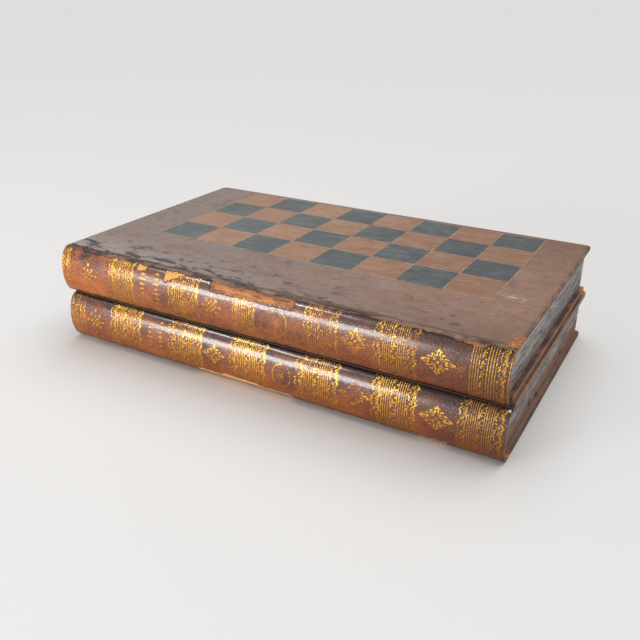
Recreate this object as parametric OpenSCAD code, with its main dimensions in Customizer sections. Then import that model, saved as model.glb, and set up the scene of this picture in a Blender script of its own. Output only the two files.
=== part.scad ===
// Folding games box made as two stacked faux books.
// Each volume is a shallow tray with a rounded leather spine, hinged together along the back edge.
// X runs along the spines, the spines face -Y, and Z is up from the surface the box lies on.

/* [Volumes] */
// Length of each board, along the spine
board_len = 438; // [390:1:540]
// Depth of each board, from the spine edge to the hinge edge
board_depth = 254; // [230:1:360]
// Height of one volume, from its outer board to its rim
volume_h = 47; // [44:0.5:80]
// Gap between the two rims when the box is shut
seam = 0.4; // [0.2:0.1:1]
// How far the lower volume stands to the right of the upper one
volume_offset = 2.5; // [0:0.5:6]

/* [Boards] */
// Thickness of an outer board with its leather
board_t = 4; // [3:0.5:7]
// Thickness of the leather on an outer board
leather_t = 0.8; // [0.6:0.1:1.5]
// Radius of the worn corners at the hinge edge
corner_r = 4; // [2:0.5:8]

/* [Page block] */
// How far the block stands back from the ends and from the hinge edge
block_inset = 4; // [2:0.5:8]
// Thickness of the block's walls
wall_t = 10; // [8:0.5:16]
// Thickness of the rim strips
rim_t = 4; // [3.5:0.5:7]

/* [Spine] */
// How far a spine swells out past the edge of its boards
spine_bulge = 10.5; // [6:0.5:16]
// Thickness of the spine leather on its liner
spine_t = 2; // [1:0.25:3]
// How far a board's edge shows above the spine leather
spine_lip = 0.8; // [0.4:0.1:1.5]
// Glue line between the spine leather and the rounded front rail
glue_gap = 0.1; // [0.05:0.05:0.3]
// Steps in the curve of a spine
spine_steps = 36; // [16:2:60]

/* [Chess field] */
// Squares along the box
files = 8; // [4:1:10]
// Squares across one volume
ranks = 4; // [2:1:4]
// Bare leather at the left of the field
field_left = 52; // [30:1:60]
// Bare leather at the right of the field
field_right = 42; // [30:1:60]
// Bare leather between the field and the hinge edge
field_back = 6.5; // [4:0.5:20]
// Width of the gilt lines between the squares
line_w = 0.8; // [0.4:0.1:2]
// Thickness of the coloured onlays
onlay_t = 0.4; // [0.2:0.05:0.5]

/* [Trays] */
// Thickness of the lining on the floor and the walls
lining_t = 0.6; // [0.4:0.1:1.5]
// How far the wall lining stops below the rim
lining_drop = 1; // [0.5:0.5:4]
// Backgammon points along each short wall
points = 6; // [6:1:6]
// Thickness of the points
point_t = 0.3; // [0.2:0.1:0.6]
// Bare band across the middle of a tray, where the games lie
centre_band = 118; // [116:1:140]
// Gap between neighbouring points at their base
point_gap = 1.5; // [0.5:0.5:4]

/* [Hinges] */
// Length of a hinge
hinge_len = 44; // [30:1:60]
// Distance from the end of a volume to the middle of its hinge
hinge_end = 78; // [50:1:120]
// Width of a leaf, from the hinge edge inwards
leaf_w = 12; // [9:0.5:13]
// Thickness of a leaf
leaf_t = 1; // [0.8:0.1:1.5]
// Diameter of a knuckle
knuckle_d = 5; // [4:0.25:6]
// Number of knuckles
knuckles = 5; // [3:2:7]
// Diameter of the hinge pin
pin_d = 2.4; // [1.8:0.1:3]
// How far the hinge pin's centre stands behind the hinge edge
pin_out = 0.6; // [0.4:0.1:1.5]
// Running clearance round the pin
pin_fit = 0.05; // [0.02:0.01:0.1]
// Clearance between the ends of neighbouring knuckles
knuckle_gap = 0.3; // [0.1:0.1:0.6]
// Clearance of a leaf in its recess
leaf_fit = 0.1; // [0.05:0.05:0.4]

/* [Screws] */
// Screws in each leaf
screws = 3; // [2:1:3]
// Diameter of a screw's shank
screw_d = 2.2; // [1.6:0.1:2.6]
// Diameter of a screw's head
screw_head_d = 4.2; // [3.4:0.1:5]
// Length of a screw
screw_len = 12; // [8:1:20]
// Clearance round a screw's shank
screw_fit = 0.05; // [0.02:0.01:0.1]
// Distance from the end of a leaf to its first screw
screw_end = 6; // [4:0.5:8]
// Width of the slot in a screw's head
slot_w = 0.5; // [0.3:0.1:0.8]

/* [Games] */
// Diameter of a counter
counter_d = 33; // [26:1:34]
// Thickness of a counter
counter_t = 8; // [6:0.5:9]
// Counters of one colour
counters = 15; // [8:1:15]
// Most counters in a stack
stack = 4; // [4:1:4]
// Air between the counters in a stack
stack_gap = 0.1; // [0.05:0.05:0.2]
// Diameter of a dice cup at its mouth
cup_d = 36; // [30:1:38]
// Length of a dice cup
cup_len = 72; // [50:1:80]
// Wall of a dice cup
cup_wall = 2.5; // [1.5:0.5:4]
// Side of a die
die = 12; // [9:0.5:14]
// Dice in the set
dice_count = 3; // [1:1:3]
// Space between neighbouring games
game_gap = 3; // [1:0.5:4]

/* [Hidden] */
$fn = 64;

knuckle_r = knuckle_d / 2;
box_h = 2 * volume_h + seam;

// The box is centred on the origin, from the swell of the spines to the backs of the knuckles
y_front = -(board_depth + pin_out + knuckle_r - spine_bulge) / 2;
y_back = y_front + board_depth;
axis_y = y_back + pin_out;
axis_z = volume_h + seam / 2;

// The page block and the tray inside it
block_len = board_len - 2 * block_inset;
tray_len = block_len - 2 * wall_t;
tray_front = y_front + wall_t;
tray_back = y_back - block_inset - wall_t;
tray_depth = tray_back - tray_front;
rim_z = volume_h - rim_t;
floor_z = board_t + lining_t;

// The chess field fills what its margins leave of the board
square = (board_len - field_left - field_right) / files;
field_len = files * square;
field_depth = ranks * square;

// Points fill what the bare band leaves of the tray
point_len = (tray_len - 2 * lining_t - centre_band) / 2;
point_pitch = (tray_depth - 2 * lining_t) / points;

hinge_x = board_len / 2 - hinge_end;
knuckle_len = hinge_len / knuckles;
screw_y = y_back - (block_inset + leaf_w) / 2;

// Places of the games, in columns across the bare band
column = counter_d + game_gap;
cup_x = column + (cup_d - counter_d) / 2;
stack_count = ceil(counters / stack);
tray_mid = (tray_front + tray_back) / 2;

function side_shift(up) = (up ? -1 : 1) * volume_offset / 2;

// A volume is drawn with its outer board at the bottom; the upper one is turned over
module place(up) {
    translate([side_shift(up), 0, up ? box_h : 0])
        mirror([0, 0, up ? 1 : 0])
            children();
}

// Extrudes a section drawn in Y and Z along X, centred
module along_x(len) {
    translate([-len / 2, 0, 0])
        rotate([90, 0, 90])
            linear_extrude(height = len)
                children();
}

// Points down the swell of a spine, from its top edge to its bottom edge
function spine_curve(inset) = [
    for (i = [0 : spine_steps])
        let (a = 90 - 180 * i / spine_steps)
            [y_front - (spine_bulge - inset) * cos(a),
             volume_h / 2 + (volume_h / 2 - spine_lip - inset) * sin(a)]
];

// Section of the page block in front of y_end, with its rounded nose inside the spine
module block_section(y_end) {
    polygon(concat(
        [[y_end, board_t], [y_end, rim_z], [y_front, rim_z]],
        spine_curve(spine_t + glue_gap),
        [[y_front, board_t]]
    ));
}

module plate(len, y0, y1, z0, z1) {
    translate([-len / 2, y0, z0])
        cube([len, y1 - y0, z1 - z0]);
}

// What a worn corner takes off at both ends of the hinge edge, inset from the footprint
module worn_corners(inset) {
    r = corner_r - inset;
    for (s = [0, 1])
        mirror([s, 0])
            translate([board_len / 2 - corner_r, y_back - corner_r])
                difference() {
                    square(2 * corner_r);
                    circle(r);
                }
}

// A plate of the board's footprint, inset all round
module board_plate(inset, z0, z1) {
    translate([0, 0, z0])
        linear_extrude(height = z1 - z0)
            difference() {
                translate([inset - board_len / 2, y_front + inset])
                    square([board_len - 2 * inset, board_depth - 2 * inset]);
                worn_corners(inset);
            }
}

// Outer board of wood, inside its leather
module board(up) {
    color("#a4835c")
        place(up)
            board_plate(leather_t, leather_t, board_t);
}

// The field keeps one place along X in both volumes, so the two halves meet when opened out
function field_x(up) = -board_len / 2 + field_left - (up ? 0 : volume_offset);
field_y = y_back - field_back - field_depth;

// Leather over the outer face and the edges of a board, let in for the chess field
module board_leather(up) {
    color(up ? "#7d6660" : "#6f5950")
        place(up)
            difference() {
                board_plate(0, 0, board_t);
                board_plate(leather_t, leather_t, 2 * board_t);
                translate([field_x(up) - line_w / 2, field_y - line_w / 2, -board_t])
                    cube([field_len + line_w, field_depth + line_w, board_t + onlay_t]);
            }
}

// The colours run on across the hinge, so the lower half starts on the other colour
module squares(up, dark) {
    color(dark ? "#4c5259" : "#9a705c")
        place(up)
            for (i = [0 : files - 1], j = [0 : ranks - 1])
                if ((i + j + (up ? 0 : 1) + (dark ? 0 : 1)) % 2 == 0)
                    translate([field_x(up) + i * square + line_w / 2,
                            field_y + j * square + line_w / 2, 0])
                        cube([square - line_w, square - line_w, onlay_t]);
}

// Gilt lines round the squares
module field_lines(up) {
    color("#b98f4a")
        place(up)
            translate([field_x(up), field_y, 0])
                linear_extrude(height = onlay_t)
                    difference() {
                        translate([-line_w / 2, -line_w / 2])
                            square([field_len + line_w, field_depth + line_w]);
                        for (i = [0 : files - 1], j = [0 : ranks - 1])
                            translate([i * square + line_w / 2, j * square + line_w / 2])
                                square([square - line_w, square - line_w]);
                    }
}

// Curved leather back of a volume
module spine_leather(up) {
    color("#7a3a1c")
        place(up)
            along_x(board_len)
                polygon(concat(
                    spine_curve(0),
                    [for (p = [spine_steps : -1 : 0]) spine_curve(spine_t)[p]]
                ));
}

// Front wall of the tray, rounded to fill the spine
module front_rail(up) {
    color("#8a6a48")
        place(up)
            along_x(tray_len)
                block_section(y_front + wall_t);
}

// Pilot holes and clearance holes of the hinge screws
module screw_holes(up, z0, z1) {
    for (s = [-1, 1], k = [0 : screws - 1])
        translate([s * hinge_x - side_shift(up) + screw_x(k), screw_y, z0])
            cylinder(d = screw_d + 2 * screw_fit, h = z1 - z0);
}

function screw_x(k) =
    -hinge_len / 2 + screw_end + k * (hinge_len - 2 * screw_end) / (screws - 1);

// Back wall of the tray, behind which the hinge edge stands proud
module back_rail(up) {
    color("#8f8b84")
        place(up)
            difference() {
                plate(tray_len, tray_back, y_back - block_inset, board_t, rim_z);
                screw_holes(up, volume_h - screw_len, volume_h);
            }
}

// Grey page edges at one end of the block, with the rounded nose at the spine
module block_end(up, side) {
    color("#9a9690")
        place(up)
            translate([side * (block_len - wall_t) / 2, 0, 0])
                along_x(wall_t)
                    block_section(y_back - block_inset);
}

// One mitred strip of the rim, drawn flat and raised to the rim's height
module rim_strip(corners) {
    translate([0, 0, rim_z])
        linear_extrude(height = rim_t)
            difference() {
                polygon(corners);
                worn_corners(0);
            }
}

module rim_front(up) {
    color("#6b4530")
        place(up)
            rim_strip([
                [-board_len / 2, y_front], [board_len / 2, y_front],
                [tray_len / 2, tray_front], [-tray_len / 2, tray_front]
            ]);
}

module rim_back(up) {
    color("#6b4530")
        place(up)
            difference() {
                rim_strip([
                    [board_len / 2, y_back], [-board_len / 2, y_back],
                    [-tray_len / 2, tray_back], [tray_len / 2, tray_back]
                ]);
                for (s = [-1, 1])
                    translate([s * hinge_x - side_shift(up), 0, 0])
                        hinge_recess();
                screw_holes(up, volume_h - screw_len, 2 * volume_h);
            }
}

module rim_side(up, side) {
    color("#6b4530")
        place(up)
            rim_strip([
                [side * board_len / 2, y_front], [side * board_len / 2, y_back],
                [side * tray_len / 2, tray_back], [side * tray_len / 2, tray_front]
            ]);
}

// Room in a rim for one leaf and for the knuckles
module hinge_recess() {
    plate(hinge_len + 2 * leaf_fit, y_back - leaf_w - leaf_fit, y_back + leaf_w,
        volume_h - leaf_t, volume_h + leaf_t);
    translate([-hinge_len / 2 - knuckle_gap, axis_y, axis_z])
        rotate([0, 90, 0])
            cylinder(r = knuckle_r + knuckle_gap, h = hinge_len + 2 * knuckle_gap);
}

// Lining on the floor of a tray
module floor_lining(up) {
    color("#54603f")
        place(up)
            plate(tray_len, tray_front, tray_back, board_t, floor_z);
}

// Lining on the four walls of a tray
module wall_lining(up) {
    top = volume_h - lining_drop;
    color("#54603f")
        place(up) {
            plate(tray_len, tray_front, tray_front + lining_t, floor_z, top);
            plate(tray_len, tray_back - lining_t, tray_back, floor_z, top);
            for (s = [-1, 1])
                translate([s * (tray_len - lining_t) / 2, 0, 0])
                    plate(lining_t, tray_front + lining_t, tray_back - lining_t, floor_z, top);
        }
}

// Backgammon points of one colour, from both short walls
module points_set(up, dark) {
    half_base = (point_pitch - point_gap) / 2;
    color(dark ? "#6e2f22" : "#c9a878")
        place(up)
            for (s = [-1, 1], k = [0 : points - 1])
                if ((k + (s > 0 ? 1 : 0) + (up ? 1 : 0) + (dark ? 0 : 1)) % 2 == 0)
                    translate([s * (tray_len / 2 - lining_t),
                            tray_front + lining_t + (k + 0.5) * point_pitch, floor_z])
                        linear_extrude(height = point_t)
                            polygon([[0, -half_base], [0, half_base], [-s * point_len, 0]]);
}

// Knuckles of one leaf: the lower leaf has the outer ones
module knuckle_row(own, grow) {
    for (k = [0 : knuckles - 1])
        if (k % 2 == own)
            translate([-hinge_len / 2 + k * knuckle_len + knuckle_gap / 2 - grow, 0, 0])
                rotate([0, 90, 0])
                    cylinder(r = knuckle_r + grow, h = knuckle_len - knuckle_gap + 2 * grow);
}

// Countersunk screw, or the hole for it where fit is its clearance
module screw(k, fit) {
    shank = screw_d / 2 + fit;
    head = screw_head_d / 2 + fit;
    translate([screw_x(k), screw_y - axis_y, -seam / 2])
        rotate_extrude()
            polygon([[0, -screw_len], [shank, -screw_len], [shank, -leaf_t], [head, 0], [0, 0]]);
}

// Turns a leaf drawn for the lower volume over into the upper one
module at_hinge(up, side) {
    translate([side * hinge_x, axis_y, axis_z])
        mirror([0, 0, up ? 1 : 0])
            children();
}

module hinge_leaf(up, side) {
    own = up ? 1 : 0;
    color("#b08a45")
        at_hinge(up, side)
            difference() {
                union() {
                    translate([-hinge_len / 2, -pin_out - leaf_w, -seam / 2 - leaf_t])
                        cube([hinge_len, leaf_w + pin_out - pin_d / 2 - pin_fit, leaf_t]);
                    knuckle_row(own, 0);
                }
                knuckle_row(1 - own, knuckle_gap);
                translate([-hinge_len, 0, 0])
                    rotate([0, 90, 0])
                        cylinder(d = pin_d + 2 * pin_fit, h = 2 * hinge_len);
                for (k = [0 : screws - 1])
                    screw(k, screw_fit);
            }
}

module hinge_pin(side) {
    color("#c9a45c")
        at_hinge(false, side)
            translate([-hinge_len / 2, 0, 0])
                rotate([0, 90, 0])
                    cylinder(d = pin_d, h = hinge_len);
}

module hinge_screws(up) {
    color("#d0b070")
        for (s = [-1, 1])
            at_hinge(up, s)
                for (k = [0 : screws - 1])
                    difference() {
                        screw(k, 0);
                        translate([screw_x(k) - slot_w / 2, screw_y - axis_y - screw_head_d,
                                -seam / 2 - leaf_t / 3])
                            cube([slot_w, 2 * screw_head_d, leaf_t]);
                    }
}

// A turned counter with a dished ring on each face
module counter() {
    r = counter_d / 2;
    ring = [r * 0.45, r * 0.75];
    dish = counter_t * 0.08;
    bevel = counter_t * 0.08;
    rotate_extrude()
        polygon([
            [0, 0], [ring[0], 0], [ring[0] + dish, dish], [ring[1] - dish, dish], [ring[1], 0],
            [r - bevel, 0], [r, bevel], [r, counter_t - bevel], [r - bevel, counter_t],
            [ring[1], counter_t], [ring[1] - dish, counter_t - dish],
            [ring[0] + dish, counter_t - dish], [ring[0], counter_t], [0, counter_t]
        ]);
}

// Counters of one colour, piled in a row of stacks
module counter_stacks(x, dark) {
    color(dark ? "#3a2a22" : "#d8c49a")
        place(false)
            for (n = [0 : counters - 1])
                translate([
                    x,
                    tray_mid + (floor(n / stack) - (stack_count - 1) / 2) * column,
                    floor_z + (n % stack) * (counter_t + stack_gap)
                ])
                    counter();
}

// A leather dice cup lying on its side, with its base to the middle and its mouth outwards
module dice_cup(side) {
    r = cup_d / 2;
    lip = cup_wall * 0.4;
    color("#5b3422")
        place(false)
            translate([cup_x, tray_mid + side * game_gap / 2, floor_z + r])
                rotate([-side * 90, 0, 0])
                    rotate_extrude()
                        polygon([
                            [0, 0], [r, 0], [r, 2 * cup_wall], [r - lip, 3 * cup_wall],
                            [r - lip, cup_len - 3 * cup_wall], [r, cup_len - 2 * cup_wall],
                            [r, cup_len], [r - cup_wall, cup_len], [r - cup_wall, cup_wall],
                            [0, cup_wall]
                        ]);
}

// Pips of one face, drawn flat round its middle
module pips(count) {
    step = die / 4;
    places = [
        if (count % 2 == 1) [0, 0],
        if (count > 1) [-step, -step],
        if (count > 1) [step, step],
        if (count > 3) [-step, step],
        if (count > 3) [step, -step],
        if (count == 6) [-step, 0],
        if (count == 6) [step, 0]
    ];
    for (p = places)
        translate([p[0], p[1], die / 2 - die / 30])
            cylinder(d = die / 6, h = die / 10, $fn = 16);
}

module one_die() {
    difference() {
        cube(die, center = true);
        pips(1);
        rotate([180, 0, 0])
            pips(6);
        rotate([90, 0, 0])
            pips(2);
        rotate([-90, 0, 0])
            pips(5);
        rotate([0, 90, 0])
            pips(3);
        rotate([0, -90, 0])
            pips(4);
    }
}

module dice() {
    color("#e8dfc8")
        place(false)
            for (n = [0 : dice_count - 1])
                translate([
                    -column / 2 + (n - (dice_count - 1) / 2) * (die + game_gap),
                    tray_mid + stack_count / 2 * column + die,
                    floor_z + die / 2
                ])
                    one_die();
}

board(true);  // upper_board
board_leather(true);  // upper_board_leather
squares(true, true);  // upper_dark_squares
squares(true, false);  // upper_light_squares
field_lines(true);  // upper_field_lines
spine_leather(true);  // upper_spine_leather
front_rail(true);  // upper_front_rail
back_rail(true);  // upper_back_rail
block_end(true, -1);  // upper_left_end
block_end(true, 1);  // upper_right_end
rim_front(true);  // upper_rim_front
rim_back(true);  // upper_rim_back
rim_side(true, -1);  // upper_rim_left
rim_side(true, 1);  // upper_rim_right
floor_lining(true);  // upper_floor_lining
wall_lining(true);  // upper_wall_lining
points_set(true, false);  // upper_points_light
points_set(true, true);  // upper_points_dark
board(false);  // lower_board
board_leather(false);  // lower_board_leather
squares(false, true);  // lower_dark_squares
squares(false, false);  // lower_light_squares
field_lines(false);  // lower_field_lines
spine_leather(false);  // lower_spine_leather
front_rail(false);  // lower_front_rail
back_rail(false);  // lower_back_rail
block_end(false, -1);  // lower_left_end
block_end(false, 1);  // lower_right_end
rim_front(false);  // lower_rim_front
rim_back(false);  // lower_rim_back
rim_side(false, -1);  // lower_rim_left
rim_side(false, 1);  // lower_rim_right
floor_lining(false);  // lower_floor_lining
wall_lining(false);  // lower_wall_lining
points_set(false, false);  // lower_points_light
points_set(false, true);  // lower_points_dark
hinge_leaf(false, -1);  // hinge_left_lower_leaf
hinge_leaf(true, -1);  // hinge_left_upper_leaf
hinge_pin(-1);  // hinge_left_pin
hinge_leaf(false, 1);  // hinge_right_lower_leaf
hinge_leaf(true, 1);  // hinge_right_upper_leaf
hinge_pin(1);  // hinge_right_pin
hinge_screws(false);  // hinge_screws_lower
hinge_screws(true);  // hinge_screws_upper
counter_stacks(-column, false);  // light_counters
counter_stacks(0, true);  // dark_counters
dice_cup(-1);  // dice_cup_front
dice_cup(1);  // dice_cup_back
dice();
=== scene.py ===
"""Leather, gilding and fittings of a folding games box in the form of two books."""

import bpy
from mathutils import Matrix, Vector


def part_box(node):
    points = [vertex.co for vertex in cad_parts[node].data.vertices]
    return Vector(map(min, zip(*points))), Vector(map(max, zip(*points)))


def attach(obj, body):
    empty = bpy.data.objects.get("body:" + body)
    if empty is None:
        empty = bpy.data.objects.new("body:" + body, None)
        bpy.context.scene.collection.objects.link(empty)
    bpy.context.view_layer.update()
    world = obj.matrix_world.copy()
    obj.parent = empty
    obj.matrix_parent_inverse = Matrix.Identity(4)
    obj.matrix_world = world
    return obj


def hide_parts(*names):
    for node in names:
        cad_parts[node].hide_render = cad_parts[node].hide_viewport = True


bl_info = {
    "name": "Folding Games Box",
    "version": (1, 0, 0),
    "blender": (4, 5, 0),
    "location": "View3D > Sidebar > Games Box",
    "description": "Dresses the frame of a book-form chess and backgammon box",
    "category": "Add Mesh",
}

import bisect
import math

import bmesh
import bpy
from bpy.props import FloatProperty, FloatVectorProperty, IntProperty, PointerProperty
from mathutils import Matrix, Vector, noise

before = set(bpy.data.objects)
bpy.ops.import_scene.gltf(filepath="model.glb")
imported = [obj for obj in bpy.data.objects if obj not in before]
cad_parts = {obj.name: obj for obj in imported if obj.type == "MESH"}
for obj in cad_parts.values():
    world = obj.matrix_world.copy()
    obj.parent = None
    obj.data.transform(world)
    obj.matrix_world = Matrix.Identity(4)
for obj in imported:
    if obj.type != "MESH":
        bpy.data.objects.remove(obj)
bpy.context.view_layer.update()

MM = 0.001
# Points closer than this count as one, and points closer to a cut than this lie in it
TOUCH = 0.001 * MM
CUT_TOUCH = 0.0001 * MM
VOLUMES = ("upper", "lower")
SIDES = ("left", "right")
HINGE_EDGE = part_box("upper_rim_back")[1].y
HINGE_X = sum(corner.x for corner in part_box("hinge_right_pin")) / 2


def tone(red, green, blue):
    """A colour as a picture shows it, 0 to 255, as the linear colour that Blender works in."""
    def linear(part):
        part /= 255
        return part / 12.92 if part <= 0.04045 else ((part + 0.055) / 1.055) ** 2.4
    return tuple(linear(part) for part in (red, green, blue))


def colour(name, description, *parts):
    return FloatVectorProperty(name=name, description=description, subtype="COLOR", size=3,
                               min=0, max=1, default=tone(*parts))


def length(name, description, default):
    return FloatProperty(name=name, description=description, unit="LENGTH", precision=5,
                         min=0, default=default)


# Settings

class SpineSettings(bpy.types.PropertyGroup):
    cell: length("Cell", "Width of one mesh cell of the spine leather", 1.0 * MM)
    thickness: length("Thickness", "Thickness of the leather on its liner", 2.0 * MM)
    waviness: length("Waviness", "Depth of the slow waves in the leather", 0.35 * MM)
    tear_depth: length("Tear depth", "How much leather a tear takes off", 0.7 * MM)
    end_gap: length("End gap", "How far the leather stops short of its ends", 0.15 * MM)
    warm: colour("Warm", "Red-brown of polished leather", 162, 86, 36)
    deep: colour("Deep", "Purple-brown of darkened leather", 110, 58, 32)
    # Partly painted light bounced up from the floor
    bottom: colour("Bottom", "Orange-brown in the lower third of a spine", 150, 80, 28)
    orange: colour("Orange", "Leather rubbed through its polish", 178, 92, 24)
    torn: colour("Torn", "Bare inner leather in a tear", 206, 138, 84)


class GildingSettings(bpy.types.PropertyGroup):
    lift: length("Lift", "How far the gold stands over the leather", 0.06 * MM)
    thickness: length("Thickness", "Thickness of a tooled ornament", 0.14 * MM)
    line: length("Line", "Width of a tooled line", 0.6 * MM)
    pitch: length("Pitch", "Spacing of the upright lines of a band", 1.9 * MM)
    bright: colour("Bright", "Gold where it is whole", 250, 190, 50)
    dull: colour("Dull", "Gold where it is rubbed", 176, 116, 30)
    wear: FloatProperty(name="Wear", description="Share of the gold that is rubbed away",
                        subtype="FACTOR", min=0, max=1, default=0.02)


class BoardSettings(bpy.types.PropertyGroup):
    edge: length("Edge", "Radius of a board's worn edges", 1.0 * MM)
    corner: length("Corner", "Radius of the two corners at a spine", 1.6 * MM)
    back_corner: length("Back corner", "Radius of the two corners at the back", 4.6 * MM)
    bed: length("Bed", "How deep the chess field is let into the leather", 0.45 * MM)
    turned: length("Turned over", "How far the leather reaches over a spine", 2.3 * MM)
    skived: length("Skived edge", "Thickness of the turned-over leather", 0.3 * MM)
    sag: length("Sag", "Depth of the slow waves in a board", 0.16 * MM)
    # Left and right are partly the leather's tone and partly painted sheen, greyer at the left
    left: colour("Left", "Grey-mauve leather at the left of a board", 145, 130, 124)
    right: colour("Right", "Browner leather at the right of a board", 150, 119, 105)
    scuff: colour("Scuff", "Dark scuffs near the spine", 72, 70, 74)
    worn: colour("Worn", "Tan leather along worn edges", 186, 140, 98)
    corner_worn: colour("Worn corner", "Orange leather at a worn corner", 205, 122, 48)
    dark_square: colour("Dark square", "Slate squares of the chess field", 101, 106, 108)
    light_square: colour("Light square", "Pinkish squares of the chess field", 164, 128, 108)
    field_line: colour("Field line", "Rubbed gilt lines of the field", 198, 162, 118)


class BlockSettings(bpy.types.PropertyGroup):
    ridge: length("Ridge", "Depth of the ridges on the page edges", 0.3 * MM)
    pitch: length("Pitch", "Spacing of the ridges on the page edges", 1.1 * MM)
    rim_edge: length("Rim edge", "Radius of the worn edges of a rim", 0.9 * MM)
    rim_dents: length("Rim dents", "Depth of the dents in a rim", 0.22 * MM)
    page: colour("Page", "Grey of the page edges", 168, 162, 158)
    streak: colour("Streak", "Dark streaks between the pages", 74, 72, 74)
    stain: colour("Stain", "Brown stain on the page edges", 128, 90, 66)
    rim: colour("Rim", "Brown leather of a rim", 148, 106, 84)
    rim_dark: colour("Rim, dark", "Darkened leather of a rim", 96, 68, 55)
    rim_worn: colour("Rim, worn", "Bare leather at the edges of a rim", 190, 156, 126)


class TraySettings(bpy.types.PropertyGroup):
    border: length("Border", "Width of the gilt border round a backgammon point", 0.8 * MM)
    edge: length("Edge", "Radius of the edges of the lining", 0.12 * MM)
    bar: length("Bar", "Width of the bare middle of a tray, between its fillets", 114 * MM)
    margin: length("Margin", "From the ends of the fillets to the walls", 2.2 * MM)
    wide_fillet: length("Wide fillet", "Width of the fillet beside the bar", 1.4 * MM)
    fine_fillet: length("Fine fillet", "Width of the fillet next to it", 0.5 * MM)
    fillet_pitch: length("Fillet pitch", "From the middle of one fillet to the next", 2.4 * MM)
    fillet_thickness: length("Fillet thickness", "Thickness of a fillet", 0.12 * MM)
    lining: colour("Lining", "Leather in the trays", 52, 66, 46)
    light_point: colour("Light point", "Tan backgammon points", 196, 152, 98)
    dark_point: colour("Dark point", "Dark red backgammon points", 112, 34, 26)
    wood: colour("Wood", "Bare softwood", 176, 138, 96)


class FittingSettings(bpy.types.PropertyGroup):
    soften: length("Soften", "Radius of the edges of the brass", 0.14 * MM)
    nail: length("Nail", "Diameter of the small nail at the end of a spine", 2.3 * MM)
    nail_in: length("Nail from the end", "From the end of the spine to the nail", 1.6 * MM)
    nail_down: length("Nail from the top", "From the top of the spine to the nail", 2.9 * MM)
    # Near-white, partly a painted glint on the nail's head
    steel: colour("Steel", "Head of the small nail", 226, 222, 214)
    brass: colour("Brass", "Rubbed brass", 214, 170, 92)
    tarnish: colour("Tarnish", "Brass gone brown", 112, 78, 40)


class GameSettings(bpy.types.PropertyGroup):
    turns: IntProperty(name="Turns", description="Faces round a counter or a cup",
                       min=12, max=96, default=48)
    wall: length("Wall", "Thickness of a dice cup's wall", 2.5 * MM)
    waist: length("Waist", "How far a dice cup is turned in at its waist", 1 * MM)
    dice_edge: length("Dice edge", "Radius of the edges of a die", 1 * MM)
    boxwood: colour("Boxwood", "Light counters", 216, 180, 118)
    ebony: colour("Ebony", "Dark counters", 44, 32, 28)
    cup: colour("Cup", "Leather of the dice cups", 96, 52, 32)
    bone: colour("Bone", "Bone of the dice", 232, 220, 194)
    pip: colour("Pip", "Ink in the pips", 28, 24, 24)


class StudioSettings(bpy.types.PropertyGroup):
    lens: FloatProperty(name="Lens", description="Focal length of the camera in millimetres",
                        min=10, default=41.04)
    key: FloatProperty(name="Key", description="Power of the low light at the left in watts",
                       min=0, default=26)
    sun: FloatProperty(name="Overhead", description="Strength of the soft light from above",
                       min=0, default=1.9)
    strip: FloatProperty(name="Strip", description="Power of the narrow light above in watts",
                         min=0, default=10)
    fill: FloatProperty(name="Fill", description="Strength of the light from all round",
                        min=0, default=0.38)
    backdrop: FloatProperty(name="Backdrop", description="Brightness seen beyond the floor",
                            min=0, default=0.76)
    spread: length("Spread", "How far the floor reaches from the box", 60)
    floor: colour("Floor", "Pale floor", 231, 230, 229)


# Shades of wear, dirt and age, and of painted light and shade

# Spine leather, whole and torn, and the painted shade and light on it
FALLOFF_CHESTNUT = tone(88, 42, 18)
AMBER = tone(206, 116, 44)
FALLOFF_UMBER = tone(52, 26, 14)
SHADOW = tone(80, 44, 30)
SPECK = tone(74, 38, 30)
SEAM_SHADE = tone(38, 20, 15)
SOOT = tone(54, 30, 24)
CRACK_DIRT = tone(48, 24, 18)
DUST = tone(156, 124, 112)
TORN_BROWN = tone(132, 84, 56)
SHADE_BROWN = tone(112, 84, 68)
TORN_GOLDEN = tone(240, 178, 92)
TORN_PALE_LIGHT = tone(246, 186, 124)
TEAR_LIP = tone(36, 20, 14)
# Gold: painted darker low on a spine as painted shade, in its pits, and at the right end
SHADED_LOW_GOLD = tone(122, 76, 22)
PITTED_GOLD = tone(84, 50, 20)
FAR_GOLD = tone(120, 76, 26)
# Board leather, its marks and its edges, and the painted light and shade on it
DARK_STREAK = tone(102, 82, 72)
PALE_STREAK = tone(174, 154, 144)
DARK_MOTTLE = tone(92, 76, 70)
PALE_MOTTLE = tone(182, 158, 144)
WARM_CLOUD = tone(170, 122, 92)
SPOT = tone(78, 72, 76)
SHADED_FRONT_BROWN = tone(104, 80, 66)
LIT_FRONT_GREY = tone(180, 166, 160)
EDGE_LIP = tone(58, 48, 46)
STAIN = tone(72, 68, 76)
RING = tone(196, 182, 164)
EDGE_DIRT = tone(72, 56, 50)
FLANK_SHADE = tone(46, 38, 36)
RUST = tone(150, 86, 44)
BRIGHT_FLECK = tone(248, 196, 116)
# Leather turned over the edge, and the leather under a lost line of the field
TURNED_DARK = tone(70, 54, 47)
TURNED_PALE = tone(140, 112, 95)
TURNED_WORN = tone(176, 138, 104)
LOST_LINE = tone(142, 114, 96)
# Page edges, with painted shade near the rim and painted light near the board
PALE_FIBRE = tone(216, 212, 208)
PALE_PAGE = tone(190, 186, 182)
PAGE_BLOTCH = tone(74, 66, 62)
PAGE_LIGHT = tone(206, 200, 194)
PAGE_THREAD = tone(50, 44, 42)
PAGE_RUST = tone(176, 118, 70)
PAGE_DIRT = tone(62, 42, 32)
WORM_HOLE = tone(18, 12, 10)
RIM_SIDE_SHADE = tone(78, 66, 60)
BOARD_SIDE_LIGHT = tone(206, 202, 198)
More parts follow.
